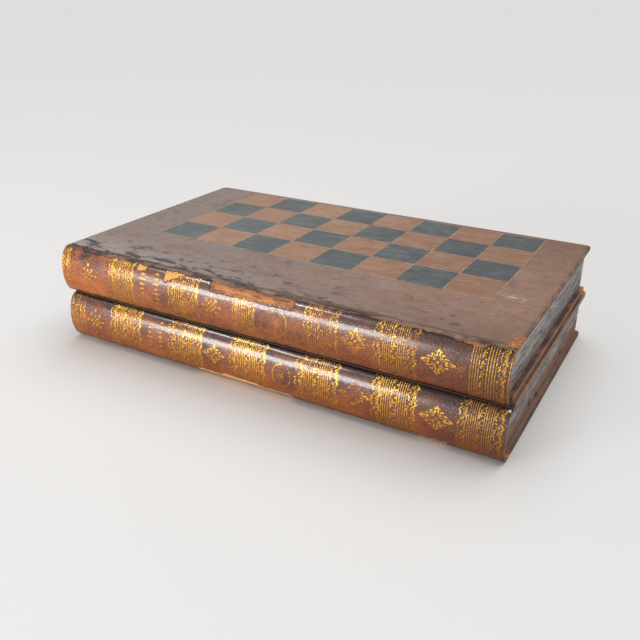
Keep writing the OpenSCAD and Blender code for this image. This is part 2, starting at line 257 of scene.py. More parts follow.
# Rims, with painted shade in the seam at the front
RIM_LINE = tone(150, 118, 92)
RIM_SEAM_SHADE = tone(26, 17, 14)
RIM_CORNER = tone(186, 122, 68)
# Trays
FADED_LINING = tone(74, 86, 58)
RUBBED_LINING = tone(110, 104, 76)
POINT_DIRT = tone(120, 96, 66)
LOST_FILLET = tone(120, 84, 40)
WHOLE_FILLET = tone(236, 186, 84)
DARK_GRAIN = tone(128, 92, 58)
FADED_TAN = tone(214, 178, 128)
FADED_RED = tone(140, 62, 44)
# Nail, games and floor
DULL_STEEL = tone(150, 144, 136)
PORES = tone(30, 20, 14)
DARK_CUP = tone(66, 32, 20)
RUBBED_CUP = tone(150, 102, 66)
OLD_BONE = tone(206, 182, 138)
FADED_INK = tone(60, 50, 44)
BOXWOOD_GRAIN = tone(186, 140, 80)
EBONY_GRAIN = tone(66, 46, 36)
FLOOR_SHADE = tone(214, 212, 210)


# How a pattern is stretched: a number below 1 draws it out along that axis
EVEN = (1, 1, 1)
DRAWN = (0.5, 1, 1)


# Shader maths

def maths(operation, reflected=False):
    """A method that adds a Math node."""
    def add(self, *others):
        values = (*others, self) if reflected else (self, *others)
        return self.paint.node("ShaderNodeMath", {"operation": operation}, dict(enumerate(values)))
    return add


class Wire:
    """A shader socket that takes part in sums, so that shader maths reads as expressions."""

    def __init__(self, paint, socket):
        self.paint = paint
        self.socket = socket

    __add__, __radd__ = maths("ADD"), maths("ADD", True)
    __sub__, __rsub__ = maths("SUBTRACT"), maths("SUBTRACT", True)
    __mul__, __rmul__ = maths("MULTIPLY"), maths("MULTIPLY", True)
    __truediv__, __rtruediv__ = maths("DIVIDE"), maths("DIVIDE", True)
    __abs__ = maths("ABSOLUTE")
    least = maths("MINIMUM")
    most = maths("MAXIMUM")

    def fade(self, start, end):
        """0 up to start and 1 from end on, with a soft step between them."""
        return self.paint.node(
            "ShaderNodeMapRange", {"interpolation_type": "SMOOTHSTEP"},
            {"Value": self, "From Min": start, "From Max": end})


class Paint:
    """The nodes of one material."""

    def __init__(self, name):
        self.material = bpy.data.materials.new(name)
        self.material.use_nodes = True
        self.tree = self.material.node_tree
        self.tree.nodes.clear()
        self.place = self.node("ShaderNodeTexCoord", {}, {}, "Object")
        self.x, self.y, self.z = (
            self.node("ShaderNodeSeparateXYZ", {}, {"Vector": self.place}, axis)
            for axis in "XYZ")

    def node(self, kind, settings, sockets, output=0):
        """Adds a node with its settings, then its sockets' values or links."""
        made = self.tree.nodes.new(kind)
        for name, value in settings.items():
            setattr(made, name, value)
        for name, value in sockets.items():
            if isinstance(value, Wire):
                self.tree.links.new(value.socket, made.inputs[name])
            else:
                made.inputs[name].default_value = value
        return Wire(self, made.outputs[output]) if made.outputs else None

    def stretched(self, stretch, shift=(0, 0, 0)):
        return self.node("ShaderNodeMapping", {},
                         {"Vector": self.place, "Scale": stretch, "Location": shift})

    def noise(self, scale, detail=3, rough=0.55, stretch=EVEN, shift=(0, 0, 0)):
        return self.node("ShaderNodeTexNoise", {},
                         {"Vector": self.stretched(stretch, shift), "Scale": scale,
                          "Detail": detail, "Roughness": rough})

    def cells(self, scale, stretch=EVEN):
        return self.node("ShaderNodeTexVoronoi", {},
                         {"Vector": self.stretched(stretch), "Scale": scale})

    def attribute(self, name):
        return self.node("ShaderNodeAttribute", {"attribute_name": name}, {}, "Fac")

    def mix(self, share, first, second):
        """One colour where the share is 0, the other where it is 1."""
        colours = [value if isinstance(value, Wire) else (*value, 1) for value in (first, second)]
        return self.node("ShaderNodeMix", {"data_type": "RGBA"},
                         {0: share, 6: colours[0], 7: colours[1]}, 2)

    def ground(self, share, first, second):
        """Starts the base colour as a mix of two."""
        self.base = self.mix(share, first, second)

    def wash(self, share, shade):
        """Lays a shade over the base colour."""
        self.base = self.mix(share, self.base, shade)

    def near(self, centre, radii):
        """1 at a point, falling to 0 on the ellipsoid of these radii round it."""
        away = self.node("ShaderNodeVectorMath", {"operation": "SUBTRACT"},
                         {0: self.place, 1: centre})
        shared = self.node("ShaderNodeVectorMath", {"operation": "DIVIDE"}, {0: away, 1: radii})
        return 1 - self.node("ShaderNodeVectorMath", {"operation": "LENGTH"}, {0: shared}, 1)

    def bump(self, height, depth, under=None):
        sockets = {"Height": height, "Distance": depth, "Strength": 1}
        if under:
            sockets["Normal"] = under
        return self.node("ShaderNodeBump", {}, sockets)

    def coat(self, roughness, normal=None, **fixed):
        """Closes the material with its surface shader."""
        sockets = {"Base Color": self.base, "Roughness": roughness}
        for name, value in fixed.items():
            sockets[name.replace("_", " ").title().replace("Ior", "IOR")] = value
        if normal:
            sockets["Normal"] = normal
        shader = self.node("ShaderNodeBsdfPrincipled", {}, sockets)
        self.node("ShaderNodeOutputMaterial", {}, {"Surface": shader})
        return self.material


# Pieces

def smooth(bm, angle):
    """Smooth faces, with sharp edges where they meet at more than the angle."""
    bm.normal_update()
    for face in bm.faces:
        face.smooth = True
    for edge in bm.edges:
        edge.smooth = edge.calc_face_angle(math.pi) < math.radians(angle)


def finish_piece(bm, name, body, materials, stands_for=(), angle=35):
    """Makes a mesh a piece of the box that rides on a body."""
    smooth(bm, angle)
    mesh = bpy.data.meshes.new(name)
    bm.to_mesh(mesh)
    bm.free()
    for material in materials:
        mesh.materials.append(material)
    made = bpy.data.objects.new(name, mesh)
    bpy.context.scene.collection.objects.link(made)
    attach(made, body)
    if stands_for:
        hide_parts(*stands_for)
    return made


def dress(node, material):
    """Gives a frame node its material."""
    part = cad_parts[node]
    if not part.material_slots:
        raise RuntimeError(f"{node} has no material slot")
    for place in part.material_slots:
        place.material = material


def merged_copy(node):
    """A frame node's mesh with its triangles joined into flat faces."""
    bm = bmesh.new()
    bm.from_mesh(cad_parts[node].data)
    bmesh.ops.remove_doubles(bm, verts=bm.verts, dist=TOUCH)
    bmesh.ops.dissolve_limit(bm, angle_limit=math.radians(1), verts=bm.verts, edges=bm.edges)
    return bm


def pour(source, into):
    """Adds one mesh to another and frees it."""
    carrier = bpy.data.meshes.new("carrier")
    source.to_mesh(carrier)
    source.free()
    into.from_mesh(carrier)
    bpy.data.meshes.remove(carrier)


def thicken(bm, thickness):
    """Gives a sheet a wall behind the side that it faces."""
    bm.normal_update()
    bmesh.ops.solidify(bm, geom=bm.faces[:], thickness=thickness)


def round_edges(bm, edges, radius, segments=2):
    bmesh.ops.bevel(bm, geom=edges, offset=radius, segments=segments, profile=0.5,
                    affect="EDGES", material=-1, clamp_overlap=True)


def sharp_edges(bm, angle=35):
    return [edge for edge in bm.edges if edge.calc_face_angle(0) > math.radians(angle)]


def slice_up(bm, axis, places):
    """Cuts a mesh across an axis at each place."""
    normal = [0, 0, 0]
    normal[axis] = 1
    for place in places:
        bmesh.ops.bisect_plane(bm, geom=bm.verts[:] + bm.edges[:] + bm.faces[:], dist=CUT_TOUCH,
                               plane_co=[place * part for part in normal], plane_no=normal)


def spaced(low, high, step):
    """Places between two ends, about a step apart."""
    count = max(1, round((high - low) / step))
    return [low + (high - low) * n / count for n in range(1, count)]


def rumple(bm, depth, scale, seed, keep):
    """Presses a mesh in by slow noise, by the share that keep gives for a place."""
    bm.normal_update()
    moves = [(vert, vert.normal * depth * keep(vert.co)
              * max(0, 0.5 + 0.5 * noise.noise(vert.co * scale + Vector((seed, 0, 0)))))
             for vert in bm.verts]
    for vert, move in moves:
        vert.co -= move


# Spines

# Places on a spine are given in millimetres along the box and down the curve from its top edge.
# A tear: its ends along the box, its upper and lower edges at the left end and at the right end.
TEARS = {
    "upper": (
        (-44.5, 38.5, 1.2, 11.4, 0.8, 11.0),
        (-126.5, -117.0, 3.2, 9.0, 3.4, 7.0),
        (-94.5, -75.0, 3.6, 14.0, 3.2, 4.6),
        (170.0, 195.0, 0.6, 3.6, 0.6, 5.6),
        (216.4, 218.5, -2.0, 7.0, -2.0, 13.0),
    ),
    "lower": (
        (-64.0, 36.0, 45.0, 56.0, 46.0, 56.0),
        (-36.0, 2.0, 42.6, 56.0, 43.8, 56.0),
        (150.0, 174.0, 47.4, 56.0, 46.8, 56.0),
        (-216.0, -192.0, 48.4, 56.0, 49.0, 56.0),
    ),
}
# How far the outline of a tear wanders, and how far its lip is spread
TEAR_RAG = 1.1 * MM
TEAR_SOFT = 0.35 * MM
# Steps in which the curve of a spine is measured
CURVE_STEPS = 720


def step(value, soft):
    """0 well below zero and 1 well above it."""
    part = min(1, max(0, 0.5 + value / (2 * soft)))
    return part * part * (3 - 2 * part)


class Swell:
    """The outside of one spine: turns a place along and down it into a point."""

    def __init__(self, volume):
        low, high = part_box(f"{volume}_spine_leather")
        self.left, self.right = low.x, high.x
        self.edge, self.depth = high.y, high.y - low.y
        self.middle, self.half = (low.z + high.z) / 2, (high.z - low.z) / 2
        self.volume = volume
        self.seed = 7.3 * VOLUMES.index(volume)
        self.angles = [math.pi / 2 - math.pi * n / CURVE_STEPS for n in range(CURVE_STEPS + 1)]
        self.lengths = [0.0]
        for first, second in zip(self.angles, self.angles[1:]):
            run = (self.flat(second) - self.flat(first)).length
            self.lengths.append(self.lengths[-1] + run)
        self.girth = self.lengths[-1]

    def flat(self, angle):
        return Vector((self.edge - self.depth * math.cos(angle),
                       self.middle + self.half * math.sin(angle)))

    def torn(self, along, down):
        """1 where the leather is torn off and 0 where it is whole."""
        rag = TEAR_RAG * (noise.noise((along * 260, down * 260, self.seed))
                          + 0.6 * noise.noise((along * 900, down * 900, self.seed)))
        most = 0
        for start, end, top, bottom, far_top, far_bottom in TEARS[self.volume]:
            part = (along - start * MM) / ((end - start) * MM)
            inside = min(along - start * MM, end * MM - along,
                         down - (top + part * (far_top - top)) * MM,
                         (bottom + part * (far_bottom - bottom)) * MM - down)
            most = max(most, step(inside + rag, TEAR_SOFT))
        return most

    def sheet(self, bm, cell, rows, end_gap):
        """Makes a grid: each vertex with its place along the spine and its share down the grid."""
        run = self.right - self.left - 2 * end_gap
        bmesh.ops.create_grid(bm, x_segments=round(run / cell), y_segments=rows, size=0.5)
        middle = (self.left + self.right) / 2
        return [(vert, middle + vert.co.x * run, vert.co.y + 0.5) for vert in bm.verts]

    def point(self, along, down, lift, settings):
        """The point over a place, lifted off the leather."""
        down = min(max(down, 0), self.girth)
        after = max(1, min(bisect.bisect_left(self.lengths, down), len(self.angles) - 1))
        gap = self.lengths[after] - self.lengths[after - 1]
        part = (down - self.lengths[after - 1]) / gap
        angle = self.angles[after - 1] + part * (self.angles[after] - self.angles[after - 1])
        across = self.flat(angle)
        out = Vector((-math.cos(angle) / self.depth, math.sin(angle) / self.half)).normalized()
        wave = 0.5 + 0.5 * noise.fractal((along * 22, down * 60, self.seed), 1.0, 2.0, 3)
        sunk = (settings.waviness * (0.3 + 0.7 * min(1, max(0, wave)))
                + settings.tear_depth * self.torn(along, down))
        across += out * (lift - sunk)
        return Vector((along, across.x, across.y))


def spine_paint(swell, look):
    """Polished calf, crazed and rubbed, with bare leather where it is torn."""
    paint = Paint(f"{swell.volume}_spine_leather")
    upper = swell.volume == "upper"
    height = (paint.z - swell.middle) / swell.half
    from_left, from_right = paint.x - swell.left, swell.right - paint.x
    mottle = paint.noise(34, 6, 0.72, (1, 1.4, 1.4), (swell.seed, 0, 0)).fade(0.34, 0.62)
    paint.ground(mottle, look.deep, look.warm)
    # Low on a spine the leather turns orange-brown, partly its own tone and partly painted light
    # bounced up from the floor
    paint.wash(height.fade(-0.15, -0.8) * 0.7 * paint.noise(46).fade(0.3, 0.6), look.bottom)
    # The leather is orange at the left end, and painted shade darkens it to the right, most at the
    # right end
    falloff_shade = from_left.fade(200 * MM, swell.right - swell.left)
    paint.wash(falloff_shade * 0.64, FALLOFF_CHESTNUT)
    if upper:
        glow = from_left.fade(115 * MM, 20 * MM) * paint.noise(26, 4, 0.7).fade(0.36, 0.58)
        paint.wash(glow * 0.8, AMBER)
    paint.wash(from_right.fade(60 * MM, 5 * MM) * 0.5, FALLOFF_UMBER)
    # Painted shade darkens the upper part and the top and bottom edges, and soot lies on the upper
    # part
    paint.wash(height.fade(0.05, 0.55) * (falloff_shade * 0.4 + 0.25), SHADOW)
    specks = paint.noise(190, 5, 0.75, EVEN, (0, swell.seed, 2))
    paint.wash(specks.fade(0.54, 0.68) * 0.5, SPECK)
    paint.wash(abs(height).fade(0.7, 1) * 0.9, SEAM_SHADE)
    soot = paint.noise(60, 5, 0.75, DRAWN, (0, 3, swell.seed)).fade(0.44, 0.62)
    paint.wash(height.fade(0.3, 0.8) * soot * 0.75, SOOT)
    rubbed = (from_left.fade(120 * MM, 0) * (0.28 if upper else 0.16)
              + from_right.fade(10 * MM, 0) * 0.16 + paint.noise(60, 5, 0.75))
    rubbed = (rubbed - abs(height - 0.2) * 0.1).fade(0.62, 0.78)
    paint.wash(rubbed * 0.85, look.orange)
    # Fine cracks run over the polish and hold dirt
    wander = paint.noise(160, 2) * 0.003
    place = paint.node("ShaderNodeVectorMath", {"operation": "ADD"},
                       {0: paint.stretched((0.8, 1, 1)), 1: wander})
    cracks = paint.node("ShaderNodeTexVoronoi", {"feature": "DISTANCE_TO_EDGE"},
                        {"Vector": place, "Scale": 330})
    crazed = cracks.fade(0.13, 0) * paint.noise(70, 2).fade(0.36, 0.54)
    paint.wash(crazed * 0.55, CRACK_DIRT)
    dusty = paint.noise(90, 4, 0.7, DRAWN, (3, 1, 0)).fade(0.6, 0.74)
    paint.wash(dusty * 0.22, DUST)
    # Torn leather shows its tan inside, darkest at the edge of the tear
    torn = paint.attribute("torn")
    gone = (torn + (paint.noise(700, 2) - 0.5) * 0.5).fade(0.4, 0.56)
    flesh = paint.noise(150, 6, 0.8, (0.22, 1, 1)).fade(0.42, 0.58)
    inside = paint.mix(flesh, look.torn, TORN_BROWN)
    # Painted shade darkens the bare leather at its top, under the board's edge, and painted light
    # brightens it low on a spine
    for share, shade in (
            (height.fade(0.75, 0.98) * 0.6, SHADE_BROWN),
            (paint.x.fade(-55 * MM, -65 * MM) * height.fade(0, 0.3) * 0.8, TORN_GOLDEN),
            (height.fade(-0.6, -0.85) * 0.85, TORN_PALE_LIGHT)):
        inside = paint.mix(share, inside, shade)
    paint.wash(torn.fade(0.12, 0.4) * (1 - gone) * 0.9, TEAR_LIP)
    paint.wash(gone, inside)
    # The polish is worn at the left end and along the top at the right, most on the lower spine
    fine = paint.noise(420, 4, 0.6)
    gloss = 0.27 + dusty * 0.22 + fine * 0.14 + crazed * 0.2 + rubbed * 0.14
    hem = height.fade(0.84, 0.98) * paint.x.fade(100 * MM, 160 * MM)
    if not upper:
        gloss = gloss + hem * 0.5
    rough = gloss + gone * (0.85 - gloss)
    polish = (height.fade(-0.6, 0.25) * 0.5 + 0.07) * (1 - gone)
    polish = polish * (from_left.fade(15 * MM, 100 * MM) * 0.6 + 0.4) * (1 - hem)
    normal = paint.bump(paint.noise(70, 4, 0.7, (1, 1.3, 1.3)), 0.55 * MM)
    normal = paint.bump(cracks.fade(0, 0.16) * 0.8 + fine * 0.4, 0.09 * MM, normal)
    fibres = paint.noise(1500, 3, 0.7, (0.4, 1, 1))
    normal = paint.bump(fibres * gone, 0.25 * MM, normal)
    return paint.coat(rough, normal, coat_weight=polish, coat_roughness=0.16,
                      specular_ior_level=0.4)


class GAMESBOX_OT_spines(bpy.types.Operator):
    """Lay the worn leather over both spines"""
    bl_idname = "games_box.spines"
    bl_label = "Spine Leather"

    def execute(self, context):
        look = context.scene.games_box_spine
        for volume in VOLUMES:
            swell = Swell(volume)
            bm = bmesh.new()
            torn = bm.verts.layers.float.new("torn")
            rows = round(swell.girth / look.cell)
            for vert, along, part in swell.sheet(bm, look.cell, rows, look.end_gap):
                down = part * swell.girth
                vert[torn] = swell.torn(along, down)
                vert.co = swell.point(along, down, 0, look)
            bmesh.ops.reverse_faces(bm, faces=bm.faces[:])
            thicken(bm, look.thickness)
            finish_piece(bm, f"{volume}_spine_shell", f"{volume}_volume",
                         [spine_paint(swell, look)], [f"{volume}_spine_leather"], 50)
        return {"FINISHED"}


# Gilding

# Ornaments of each spine: the kind, its left end or middle and its right end or reach in
# millimetres, and how far its gold is rubbed away, 0 to 1. Marks take 0 or 1 for their pattern.
GILDING = {
    "upper": (
        ("border", -219.6, -209.5, 0.45), ("sprig", -185.8, 9.5, 0.0),
        ("band", -160.3, -129.5, 0.12), ("marks", -118.8, 0, 0.2), ("marks", -102.3, 1, 0.2),
        ("band", -89.6, -55.0, 0.35), ("sprig", -41.6, 9.5, 0.1), ("band", -20.1, 3.3, 0.4),
        ("oval", 24.9, 9.2, 0.42), ("band", 49.6, 81.4, 0.45), ("lozenge", 96.5, 12.0, 0.62),
        ("band", 110.8, 147.8, 0.35), ("lozenge", 164.0, 11.8, 0.2),
        ("sprig", 182.6, 5.0, 0.6), ("end_band", 188.6, 217.2, 0.15),
    ),
    "lower": (
        ("border", -216.2, -206.5, 0.4), ("border", -204.5, -198.2, 0.5),
        ("sprig", -184.0, 10.5, 0.15), ("band", -165.1, -126.0, 0.1), ("marks", -115.8, 0, 0.3),
        ("marks", -103.0, 1, 0.3), ("band", -94.7, -54.5, 0.15), ("lozenge", -41.8, 10.2, 0.2),
        ("band", -26.0, 12.7, 0.12), ("oval", 28.3, 8.8, 0.4), ("band", 40.6, 82.2, 0.25),
        ("lozenge", 96.4, 12.0, 0.5), ("band", 110.9, 150.1, 0.2),
        ("lozenge", 166.3, 11.8, 0.25), ("band", 182.2, 217.8, 0.25),
    ),
}


def around(along, down, reach, high):
    """Turns shares of an ornament's size into places round its middle."""
    return lambda across, up: (along + reach * across, down + high * up)


class Tooling:
    """Gold ornament, drawn flat along and down a spine and then bent onto it."""
    # Bare leather above and below the gold, and the length of a line's mesh cells
    margin, cell = 1.4 * MM, 1.5 * MM
    # Share of torn leather past which the gold on it is lost
    lost = 0.35

    def __init__(self, look, girth):
        self.bm = bmesh.new()
        self.line_width, self.pitch = look.line, look.pitch
        self.top, self.bottom = self.margin, girth - self.margin
        self.tall, self.middle = self.bottom - self.top, (self.top + self.bottom) / 2

    def line(self, along, width=None):
        place = (Matrix.Translation((along, self.middle, 0))
                 @ Matrix.Diagonal((width or self.line_width, self.tall, 1, 1)))
        bmesh.ops.create_grid(self.bm, x_segments=1, size=0.5, matrix=place,
                              y_segments=round(self.tall / self.cell))

    def petal(self, along, down, long, wide, turn=0, sides=6):
        place = (Matrix.Translation((along, down, 0)) @ Matrix.Rotation(turn, 4, "Z")
                 @ Matrix.Diagonal((long / 2, wide / 2, 1, 1)))
        bmesh.ops.create_circle(self.bm, cap_ends=True, segments=sides, radius=1, matrix=place)

    def dot(self, along, down, wide):
        self.petal(along, down, wide, wide)

    def arc(self, along, down, radius, start, sweep, width, steps=8):
        ends = [self.bm.verts.new((along + math.cos(start) * reach,
                                   down + math.sin(start) * reach, 0))
                for reach in (radius - width / 2, radius + width / 2)]
        edge = self.bm.edges.new(ends)
        bmesh.ops.spin(self.bm, geom=[*ends, edge], cent=(along, down, 0), axis=(0, 0, 1),
                       angle=sweep, steps=steps)

    def curl(self, along, down, radius, start, way):
        """A curled stem with a bud in its eye."""
        self.arc(along, down, radius, start, way * math.radians(275), radius * 0.45)
        self.dot(along, down, radius * 0.8)

    def vine(self, left, right):
        """Scrolls that swing left and right, with curls, leaves and berries in each bay."""
        width = right - left
        bays = max(2, round(self.tall / (width * 0.74)))
        rise = self.tall / bays
        for n in range(bays):
            stray = noise.noise((left * 700, n * 3.7, 1))
            down = self.top + (n + 0.5 + 0.16 * stray) * rise
            way = 1 if n % 2 else -1
            at = around((left + right) / 2, down, way * width, rise)
            self.arc(*at(-0.02, 0), rise * 0.42, -way * math.pi / 2,
                     way * math.pi * (0.92 + 0.3 * stray), width * 0.1)
            self.curl(*at(0.06 + 0.1 * stray, -0.04), min(rise, width) * (0.2 + 0.05 * stray),
                      way * (math.pi / 2 + stray), -way)
            for lean in (-1, 1):
                self.petal(*at(0.08 * stray - 0.32, lean * 0.24), width * 0.36, width * 0.14,
                           way * lean * (0.8 + 0.6 * stray))
                self.petal(*at(0.3, lean * 0.42), width * 0.24, width * 0.13, way * lean * 1.1)
            self.dot(*at(-0.43, 0.12 * stray), width * 0.15)
            self.dot(*at(0.44, 0.5), width * 0.13)

    def bead_column(self, along, wide):
        """Small curls, leaves and beads in one upright row."""
        rise = wide * 1.1
        for n in range(int(self.tall / rise)):
            way = 1 if n % 2 else -1
            at = around(along, self.top + (n + 0.5) * rise, way * wide, rise)
            self.arc(*at(0.12, 0), wide * 0.3, way * 0.6, way * 3.6, wide * 0.26, 6)
            self.dot(*at(-0.3, 0.42), wide * 0.36)

    def line_group(self, left, right):
        count = max(1, round((right - left) / self.pitch))
        for n in range(count + 1):
            self.line(left + (right - left) * n / count)

    def band(self, left, right):
        """Two vines with upright lines and a column of beads between them."""
        vine, column = 0.23 * (right - left), 0.12 * (right - left)
        middle = (left + right) / 2
        self.vine(left, left + vine)
        self.vine(right - vine, right)
        self.line_group(left + vine + 0.5 * MM, middle - column / 2 - 0.3 * MM)
        self.line_group(middle + column / 2 + 0.3 * MM, right - vine - 0.5 * MM)
        self.bead_column(middle, column)

    def end_band(self, left, right):
        """Two groups of lines with beads between them, and a vine at the end."""
        unit = (right - left) / 30
        self.line_group(left, left + 6 * unit)
        self.bead_column(left + 9.3 * unit, 3.8 * unit)
        self.line_group(left + 12.6 * unit, left + 19 * unit)
        self.vine(left + 20.4 * unit, right - 2.6 * unit)
        self.line(right - 0.6 * unit)

    def border(self, left, right):
        """A vine between two broad lines."""
        self.line(left + 0.6 * MM, 1 * MM)
        self.vine(left + 1.2 * MM, right - 1.2 * MM)
        self.line(right - 0.6 * MM, 0.8 * MM)

    def marks(self, along, odd):
        """A column of small lozenges and dashes where a book has its title."""
        pitch, count = 4.6 * MM, 8 + odd
        for n in range(count):
            at = around(along, self.middle + (n - (count - 1) / 2) * pitch, MM, MM)
            if (n + odd) % 2:
                self.petal(*at(0, 0), 4.2 * MM, 2 * MM, 0, 4)
                for side in (-1, 1):
                    self.dot(*at(side * 2.9, 0), 1.1 * MM)
            else:
                self.petal(*at(0, 0), 3 * MM, 3 * MM, 0, 4)
                for side in (-1, 1):
                    self.petal(*at(side * 2.2, 0), 1.6 * MM, 0.9 * MM, -side)

    def lozenge(self, along, reach):
        """A diamond of curls with pointed leaves round its outline."""
        high = reach * 0.78
        at = around(along, self.middle - 3 * MM, reach, high)
        for quarter in range(4):
            across, down = (1 if quarter in (0, 3) else -1), (1 if quarter < 2 else -1)
            slope = math.atan2(down * high, -across * reach) + 0.5 * across * down
            for part in (0.12, 0.38, 0.64, 0.9):
                self.petal(*at(across * (1 - part), down * part), reach * 0.3, reach * 0.12, slope)
            self.curl(*at(across * 0.3, down * 0.36), reach * 0.15, quarter * math.pi / 2,
                      across * down)
            self.dot(*at(across * 0.62, down * 0.14), reach * 0.14)
            self.petal(*at(across * 0.1, down * 0.66), reach * 0.26, reach * 0.13, math.pi / 2)
        for way in (-1, 1):
            self.petal(*at(way * 1.04, 0), reach * 0.3, reach * 0.2)
            self.petal(*at(0, way * 1.02), reach * 0.24, reach * 0.18, math.pi / 2)
            self.curl(*at(way * 0.62, 0), reach * 0.13, 0, way)
        self.dot(*at(0, 0), reach * 0.2)

    def sprig(self, along, reach):
        """A rosette in a diamond of small curls."""
        at = around(along, self.middle - 2 * MM, reach, reach)
        self.dot(*at(0, 0), reach * 0.2)
        for n in range(8):
            turn = n * math.pi / 4
            across, down = math.cos(turn), math.sin(turn)
            far = 0.34 if n % 2 else 0.46
            self.petal(*at(across * far, down * far), reach * 0.32, reach * 0.16, turn)
            if n % 2:
                self.curl(*at(across * 0.68, down * 0.78), reach * 0.13, turn + math.pi,
                          1 if n % 4 == 1 else -1)
            else:
                self.petal(*at(across * 0.9, down * 1.05), reach * 0.34, reach * 0.18, turn)

    def oval(self, along, reach):
        """A ring of beads round a small rosette."""
        at = around(along, self.middle - 1 * MM, reach, reach)
        beads, petals = 36, 6
        for n in range(beads):
            turn = n * 2 * math.pi / beads
            self.petal(*at(math.cos(turn), math.sin(turn) * 1.22), reach * 0.24, reach * 0.11,
                       turn + math.pi / 2)
        self.dot(*at(0, 0), reach * 0.16)
        for n in range(petals):
            turn = n * 2 * math.pi / petals
            self.petal(*at(math.cos(turn) * 0.24, math.sin(turn) * 0.24), reach * 0.24,
                       reach * 0.12, turn)

    def bend(self, swell, look, spine, rubbed):
        """Lays the drawing on the leather and drops what falls on torn leather."""
        lost = [face for face in self.bm.faces
                if swell.torn(*face.calc_center_median().xy) > self.lost]
        bmesh.ops.delete(self.bm, geom=lost, context="FACES")
        self.bm.normal_update()
        for face in self.bm.faces:
            if face.normal.z > 0:
                face.normal_flip()
        for vert in self.bm.verts:
            vert.co = swell.point(vert.co.x, vert.co.y, look.lift, spine)
        thicken(self.bm, look.thickness)
        layer = self.bm.verts.layers.float.new("rubbed")
        for vert in self.bm.verts:
            vert[layer] = rubbed
        return self.bm


def gold_paint(swell, look, spine):
    """Gold leaf, bright where it is whole and rubbed through to the leather."""
    volume = swell.volume
    paint = Paint(f"{volume}_gilding")
    height = (paint.z - swell.middle) / swell.half
    patches = paint.noise(38, 3, 0.6, EVEN, (0, 2 + VOLUMES.index(volume), 0))
    specks = paint.noise(620, 3, 0.7)
    whole = patches * 0.7 + specks * 0.75 - abs(height + 0.1) * 0.06
    left = (whole - paint.attribute("rubbed") * 0.34 - look.wear).fade(0.44, 0.58)
    shine = (paint.noise(420, 3, 0.7) + height * 0.1).fade(0.38, 0.62)
    paint.ground(shine, look.dull, look.bright)
    # Low on a spine the gold is painted darker, as a painted reflection of the shaded floor
    paint.wash(height.fade(0.15, -0.75) * 0.6, SHADED_LOW_GOLD)
    pitted = paint.noise(800, 3, 0.75).fade(0.52, 0.62)
    paint.wash(pitted * ((paint.x - swell.left).fade(150 * MM, 320 * MM) * 0.4 + 0.3), PITTED_GOLD)
    far_end = (swell.right - paint.x).fade(75 * MM, 15 * MM)
    paint.wash(far_end * (0.45 if volume == "lower" else 0.25), FAR_GOLD)
    paint.ground(left, paint.mix(specks, spine.deep, spine.warm), paint.base)
    return paint.coat(0.42 - left * 0.14, paint.bump(paint.noise(1100, 2, 0.8), 0.22 * MM),
                      metallic=left * 0.4, coat_weight=0.3, coat_roughness=0.18,
                      specular_ior_level=0.3)


class GAMESBOX_OT_gilding(bpy.types.Operator):
    """Tool the gold ornament on both spines"""
    bl_idname = "games_box.gilding"
    bl_label = "Spine Gilding"

    def execute(self, context):
        look, spine = context.scene.games_box_gilding, context.scene.games_box_spine
        for volume in VOLUMES:
            swell = Swell(volume)
            gold = bmesh.new()
            gold.verts.layers.float.new("rubbed")
            for kind, place, size, rubbed in GILDING[volume]:
                tooling = Tooling(look, swell.girth)
                unit = 1 if kind == "marks" else MM
                getattr(tooling, kind)(place * MM, size * unit)
                pour(tooling.bend(swell, look, spine, rubbed), gold)
            finish_piece(gold, f"{volume}_spine_gilding", f"{volume}_volume",
                         [gold_paint(swell, look, spine)])
        return {"FINISHED"}


# Boards

def outward(volume):
    """Way in which the outer board of a volume faces."""
    return 1 if volume == "upper" else -1


# Stains on the upper board: where each lies along and across the box, and its reach
STAINS = (((0.166, -0.107), 7.5 * MM), ((0.154, -0.103), 4 * MM),
          ((0.159, -0.094), 5 * MM), ((0.138, -0.098), 4 * MM))
# Scuffs on it: where each lies, its reach along and across, and its colour
SCUFF = (0.1887, -0.0354)
SCUFFS = ((SCUFF, (9 * MM, 2.8 * MM), tone(206, 198, 184)),
          ((0.0674, -0.0125), (4 * MM, 1.6 * MM), tone(206, 190, 172)))
# Reach of a mark downwards, so great that the board's thickness makes no difference
MARK_DEPTH = 20 * MM
# Rows of squares on one board
FIELD_ROWS = 4


